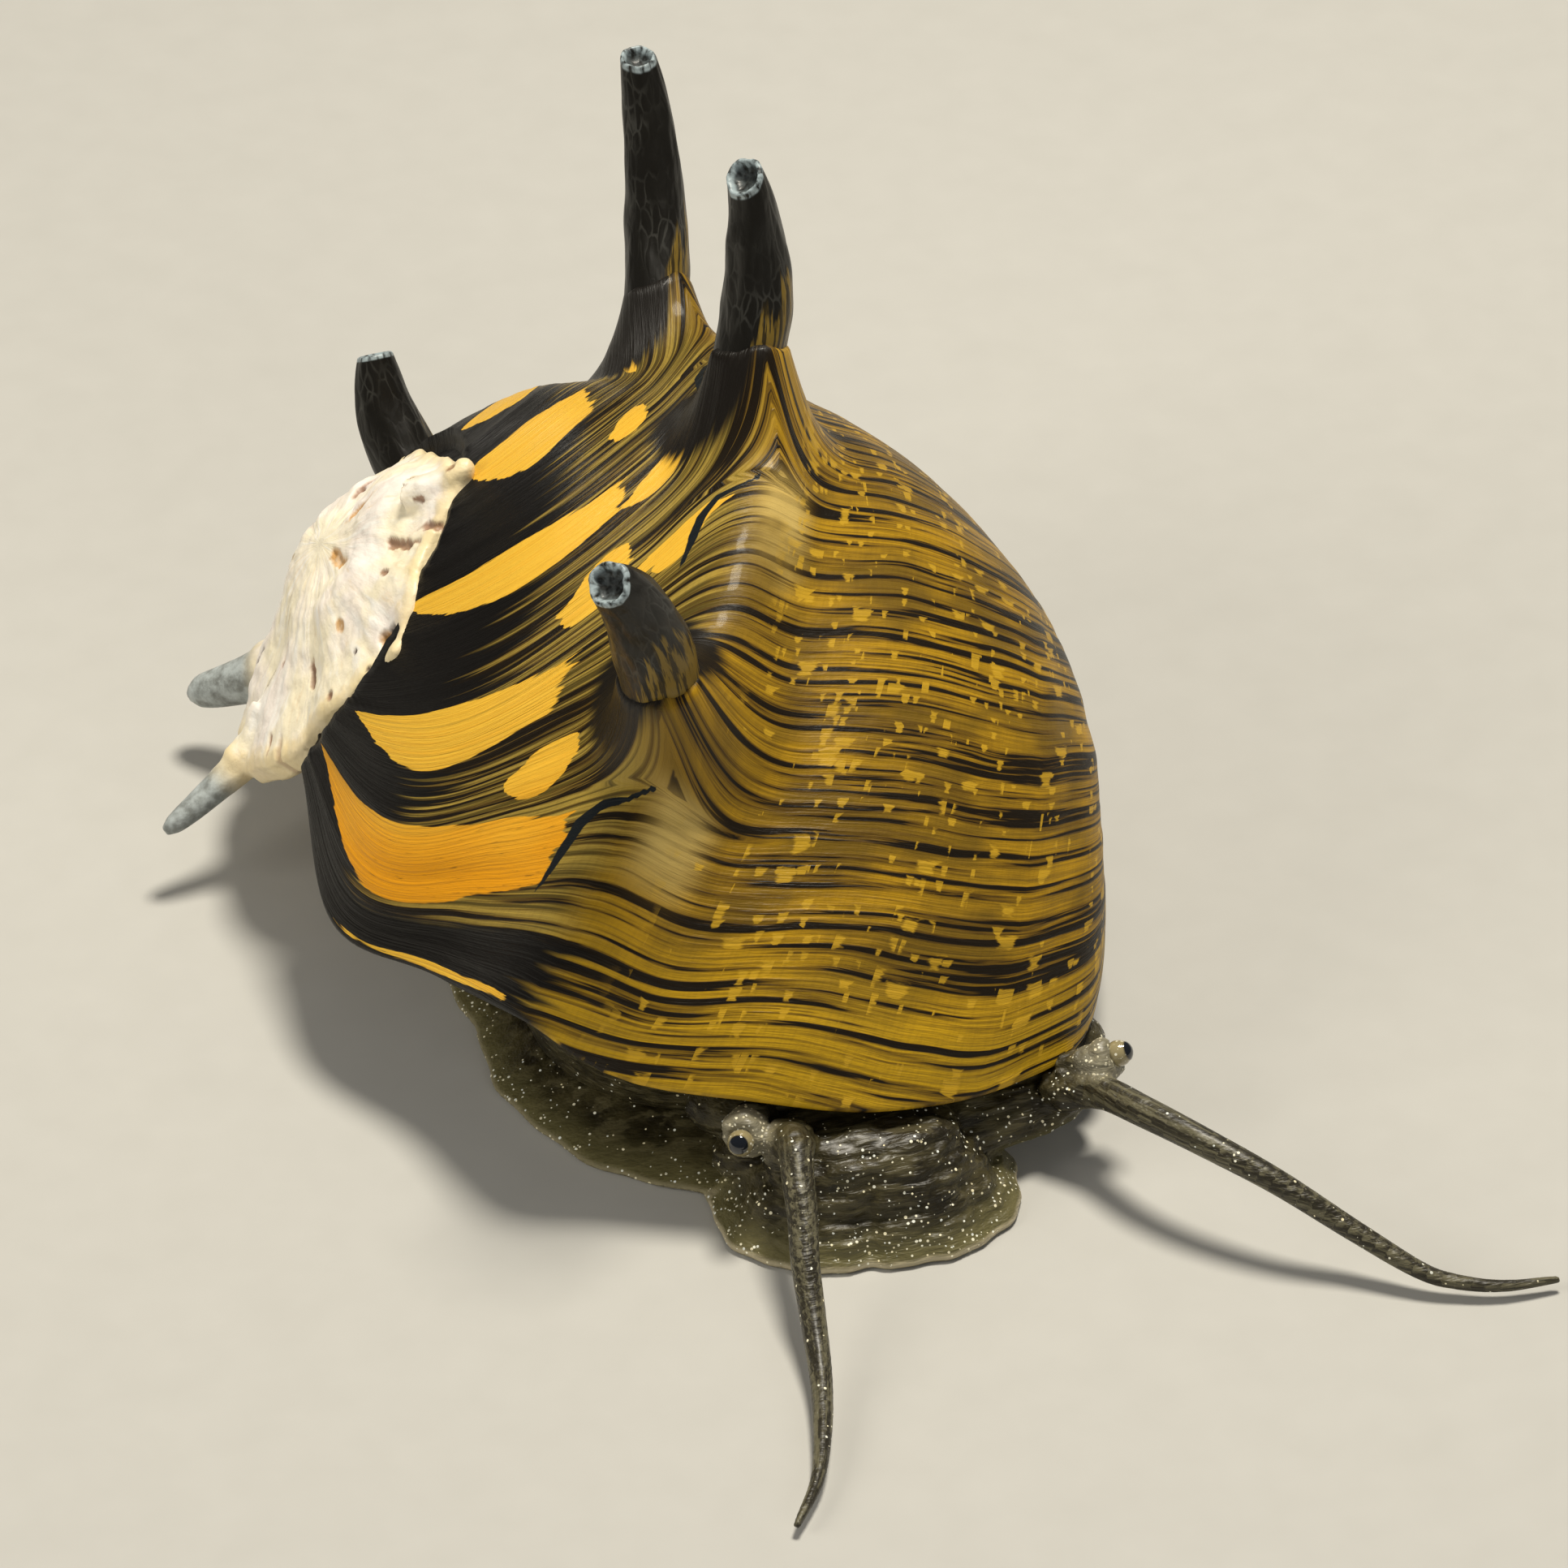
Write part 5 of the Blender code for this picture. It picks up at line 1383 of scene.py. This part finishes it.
sole_share = outline_share(skin, FOOT_CENTRE, sole_outline)
snout_share = outline_share(skin, SNOUT_CENTRE, snout_outline, SNOUT_TURN)
feeler_place = np.zeros((len(skin), 3))
on_feeler = np.zeros(len(skin))
for side, path in feeler_paths.items():
    step = np.linalg.norm(skin[:, None] - path[None, ::3], axis=2)
    nearest = step.argmin(axis=1)
    away = step.min(axis=1)
    here = (away < 0.75) & (nearest > 1)
    ways = np.gradient(path[::3], axis=0)
    ways /= np.linalg.norm(ways, axis=1)[:, None]
    offset = skin - path[::3][nearest]
    across = np.cross(ways[nearest], (0, 0, 1.0))
    across /= np.linalg.norm(across, axis=1)[:, None]
    run = nearest * 0.3
    local = np.stack([(offset * across).sum(1), offset[:, 2], run], 1)
    feeler_place[here] = local[here]
    on_feeler = np.maximum(on_feeler, np.where(here, smoothstep(1, 6, nearest), 0))
body_mask = 1 - on_feeler
head_mask = smoothstep(-7.6, -8.4, skin[:, 1]) * smoothstep(0.25, 0.6, skin[:, 2]) * body_mask
folds = noise_at(skin * (0.45, 1.2, 2.4), 1.0, 3, 5.0)
small_folds = noise_at(skin * (0.9, 2.6, 4.2), 1.0, 2, 15.0)
coarse = noise_at(skin, 0.7, 2, 25.0)
push = head_mask * (0.12 * folds + 0.075 * small_folds) + (1 - head_mask) * body_mask * 0.03 * coarse
skin = skin + skin_normals * (push * smoothstep(0.05, 0.35, skin[:, 2]))[:, None]
skin[:, 2] = np.maximum(skin[:, 2], 0.0)
on_snout = (skin[:, 1] < -8.6) & (snout_share < 1.1)
margin = np.where(on_snout, smoothstep(0.72, 0.98, snout_share), smoothstep(0.86, 1.0, sole_share))
margin = margin * smoothstep(1.2, 0.5, skin[:, 2]) * body_mask
pale_edge = np.where(on_snout, smoothstep(0.972, 0.992, snout_share), 0.5 * smoothstep(0.982, 1.0, sole_share))
pale_edge = pale_edge * smoothstep(0.5, 0.25, skin[:, 2]) * smoothstep(0.03, 0.12, skin[:, 2]) * body_mask
silver = np.zeros(len(skin))
for low, high in STALKS.values():
    silver = np.maximum(silver, smoothstep(0.95, 0.45, np.linalg.norm(skin - np.array(high), axis=1)))
collar_near = np.min(np.linalg.norm(skin[:, None] - collar[None, ::2], axis=2), axis=1)
specks = np.clip(0.20 + 0.55 * margin + 0.35 * smoothstep(0.7, 0.3, collar_near) + 0.20 * head_mask
                 + 0.35 * smoothstep(0.1, 0.45, folds) * head_mask, 0, 1) * body_mask + 0.12 * on_feeler
print("points on the feelers:", int((on_feeler > 0.5).sum()))

# %% [markdown]
# Bright specks sit in the skin, most of them along the edges and in the folds, and
# make the silver cups of the eyes. Both the skin and the eyes use them, so they are a
# shared group: cells of a given size, of which a share lights up in a small disc.

# %% Shared effect: bright specks
def speck_group():
    group = bpy.data.node_groups.new("bright specks", "ShaderNodeTree")
    face = group.interface
    face.new_socket("Place", in_out="INPUT", socket_type="NodeSocketVector")
    face.new_socket("Cells per mm", in_out="INPUT", socket_type="NodeSocketFloat")
    face.new_socket("Share", in_out="INPUT", socket_type="NodeSocketFloat")
    face.new_socket("Mask", in_out="OUTPUT", socket_type="NodeSocketFloat")
    face.new_socket("Tint", in_out="OUTPUT", socket_type="NodeSocketColor")
    given = group.nodes.new("NodeGroupInput")
    result = group.nodes.new("NodeGroupOutput")
    cells = put(group, "ShaderNodeTexVoronoi", {"Vector": given.outputs["Place"],
                                                "Scale": given.outputs["Cells per mm"]})
    pick = put(group, "ShaderNodeSeparateColor", {0: cells.outputs["Color"]})
    lit = sum_of(group, "LESS_THAN", pick.outputs[0], given.outputs["Share"])
    size = sum_of(group, "ADD", sum_of(group, "MULTIPLY", pick.outputs[1], 0.22), 0.14)
    disc = cut(group, cells.outputs["Distance"], size, sum_of(group, "SUBTRACT", size, 0.08))
    group.links.new(sum_of(group, "MULTIPLY", lit, disc), result.inputs["Mask"])
    tint = mixed(group, pick.outputs[2], colour(0.90, 0.80, 0.50), colour(0.88, 0.92, 0.86))
    group.links.new(tint, result.inputs["Tint"])
    return group


BRIGHT_SPECKS = speck_group()
print("group made:", BRIGHT_SPECKS.name)


# %% Material of the soft body
def flesh_material():
    material, tree, shader = new_material("dark speckled skin", 0.42, coat=0.18, coat_roughness=0.25, ior=1.36)
    place = put(tree, "ShaderNodeAttribute", attribute_name="place").outputs["Vector"]

    def value(name):
        return put(tree, "ShaderNodeAttribute", attribute_name=name).outputs["Fac"]

    mottle = grain(tree, place, scale=1.1, detail=4.0, rough=0.6)
    banded = grain(tree, put(tree, "ShaderNodeMapping", {0: place, 3: (0.8, 2.8, 5.6)}).outputs[0],
                   detail=3.0, rough=0.6)
    base = mixed(tree, cut(tree, mottle, 0.35, 0.70), colour(0.014, 0.011, 0.005), colour(0.058, 0.048, 0.020))
    base = mixed(tree, sum_of(tree, "MULTIPLY", cut(tree, banded, 0.50, 0.62), 0.5), base,
                 colour(0.115, 0.098, 0.048))
    base = mixed(tree, sum_of(tree, "MULTIPLY", value("margin"), 0.75), base, colour(0.17, 0.15, 0.062))
    lines_place = put(tree, "ShaderNodeAttribute", attribute_name="feeler_place").outputs["Vector"]
    lines = grain(tree, put(tree, "ShaderNodeMapping", {0: lines_place, 3: (9.0, 9.0, 0.8)}).outputs[0],
                  detail=3.0, rough=0.65)
    feeler = mixed(tree, cut(tree, lines, 0.42, 0.62), colour(0.028, 0.024, 0.015), colour(0.135, 0.122, 0.074))
    base = mixed(tree, value("on_feeler"), base, feeler)
    base = mixed(tree, value("pale_edge"), base, colour(0.46, 0.40, 0.26))
    patchy = grain(tree, place, scale=1.6, detail=3.0)
    share = sum_of(tree, "MULTIPLY", value("specks"), cut(tree, patchy, 0.40, 0.58, 0.12, 1.7))
    small = add_group(tree, BRIGHT_SPECKS, **{"Place": place, "Cells per mm": 8.5, "Share": share})
    base = mixed(tree, small.outputs["Mask"], base, small.outputs["Tint"])
    cup = add_group(tree, BRIGHT_SPECKS, **{"Place": place, "Cells per mm": 9.0, "Share": 0.95})
    silver = sum_of(tree, "MULTIPLY", value("silver"), sum_of(tree, "ADD", sum_of(
        tree, "MULTIPLY", cup.outputs["Mask"], 0.65), 0.25))
    base = mixed(tree, silver, base, mixed(tree, patchy, colour(0.62, 0.52, 0.28), colour(0.86, 0.84, 0.70)))
    tree.links.new(base, shader.inputs["Base Color"])
    height = sum_of(tree, "ADD", sum_of(tree, "MULTIPLY", banded, 1.0), sum_of(tree, "MULTIPLY", mottle, 0.5))
    bump = put(tree, "ShaderNodeBump", {"Strength": 0.8, "Distance": 0.00016, "Height": height})
    tree.links.new(bump.outputs[0], shader.inputs["Normal"])
    return material


soft_body = make_mesh("soft_body", skin, skin_faces, material=flesh_material(),
                      values={"place": skin, "margin": margin, "pale_edge": pale_edge, "silver": silver,
                              "specks": specks, "on_feeler": on_feeler, "feeler_place": feeler_place})
claim(soft_body, "flesh", "mantle", "head", "foot", "eye_stalk_right", "eye_stalk_left",
      *[f"feeler_{side}_{part}" for side in ("right", "left") for part in ("base", "middle", "tip")])
print("soft body faces", len(soft_body.data.polygons))

# %% [markdown]
# Each eye is a small black lens in a silver cup on its stalk. A ball with a raised
# clear front is enough, with the pupil marked by the angle from the way it looks.

# %% The eyes
EYE_LOOKS = {"right": unit((-0.42, -0.76, 0.50)), "left": unit((0.75, -0.35, 0.45))}


def eye_material():
    material, tree, shader = new_material("eye", 0.12, coat=1.0, coat_roughness=0.03, ior=1.45)
    angle = put(tree, "ShaderNodeAttribute", attribute_name="from_pupil").outputs["Fac"]
    place = put(tree, "ShaderNodeAttribute", attribute_name="place").outputs["Vector"]
    cup = add_group(tree, BRIGHT_SPECKS, **{"Place": place, "Cells per mm": 10.0, "Share": 0.9})
    silver = mixed(tree, cup.outputs["Mask"], colour(0.30, 0.25, 0.13), colour(0.85, 0.82, 0.66))
    base = mixed(tree, cut(tree, angle, 42.0, 50.0), colour(0.004, 0.006, 0.010), silver)
    tree.links.new(base, shader.inputs["Base Color"])
    return material


EYE_FINISH = eye_material()
for side, (low, high) in STALKS.items():
    low_end, high_end = np.array(low), np.array(high)
    stalk_way = {"right": unit((-0.4, -0.7, 0.15)), "left": unit((0.7, -0.15, 0.45))}[side]
    centre = high_end + stalk_way * (EYE_RADIUS + 0.1) - stalk_way * 0.10
    look = EYE_LOOKS[side]
    aside = unit(np.cross(look, (0, 0, 1)))
    rings, angles = [], []
    for t in np.linspace(4, 176, 30):
        wide = EYE_RADIUS * math.sin(math.radians(t))
        deep = EYE_RADIUS * math.cos(math.radians(t)) * (1.12 if t < 50 else 1.0)
        a = 2 * math.pi * np.arange(36)[:, None] / 36
        rings.append(centre + look * deep + wide * (np.cos(a) * aside + np.sin(a) * np.cross(look, aside)))
        angles.extend([t] * 36)
    eye_points, eye_faces = lofted(rings)
    eye = make_mesh(f"eye_{side}_ball", eye_points, eye_faces, material=EYE_FINISH,
                    values={"place": eye_points, "from_pupil": angles})
    claim(eye, "eye", f"eye_{side}")
    print("eye", side, "at", centre.round(2))

# %% [markdown]
# The plate that shuts the shell rides on the back of the foot: a thin limy half moon
# with growth arcs, seen only from behind. It uses the same group of growth lines.

# %% The plate on the foot
PLATE_RADII = (3.6, 1.9)
PLATE_LEVEL = 1.6
plate_angles = 2 * math.pi * np.arange(120) / 120
plate_x, plate_y = oval(plate_angles, PLATE_RADII[0], PLATE_RADII[1], PLATE_RADII[1], 2.2)
plate_rings, plate_age, plate_along = [], [], []
for share, level in [(0.5, 0.0), (0.9, 0.0), (0.98, 0.08), (1.0, 0.2), (0.99, 0.32), (0.95, 0.42), (0.88, 0.47)] + [
        (w, 0.47 + 0.03 * (1 - w) - 0.02 * math.sin(w * 30)) for w in np.linspace(0.82, 0.04, 24)]:
    middle_x = -1.1 * (1 - share)
    plate_rings.append(np.stack([PLATE_CENTRE[0] + middle_x + plate_x * share, PLATE_CENTRE[1] + plate_y * share,
                                 np.full(120, PLATE_LEVEL + level)], 1))
    plate_age.extend([share * 30] * 120)
    plate_along.extend((plate_angles * 3).tolist())
plate_points, plate_faces = lofted(plate_rings)


def plate_material():
    material, tree, shader = new_material("limy plate", 0.42, coat=0.3, coat_roughness=0.2)
    age = put(tree, "ShaderNodeAttribute", attribute_name="age").outputs["Fac"]
    along = put(tree, "ShaderNodeAttribute", attribute_name="along").outputs["Fac"]
    lines = add_group(tree, GROWTH_LINES, Age=age, Along=along, Density=0.0)
    base = mixed(tree, lines.outputs["Fine"], colour(0.44, 0.36, 0.26), colour(0.30, 0.22, 0.14))
    base = mixed(tree, sum_of(tree, "MULTIPLY", lines.outputs["Lines"], 0.6), base, colour(0.12, 0.08, 0.05))
    tree.links.new(base, shader.inputs["Base Color"])
    bump = put(tree, "ShaderNodeBump", {"Strength": 0.5, "Distance": 0.00005, "Height": lines.outputs["Height"]})
    tree.links.new(bump.outputs[0], shader.inputs["Normal"])
    return material


plate = make_mesh("foot_plate", plate_points, plate_faces, material=plate_material(),
                  values={"age": plate_age, "along": plate_along})
claim(plate, "operculum", "operculum")
print("plate faces", len(plate.data.polygons))
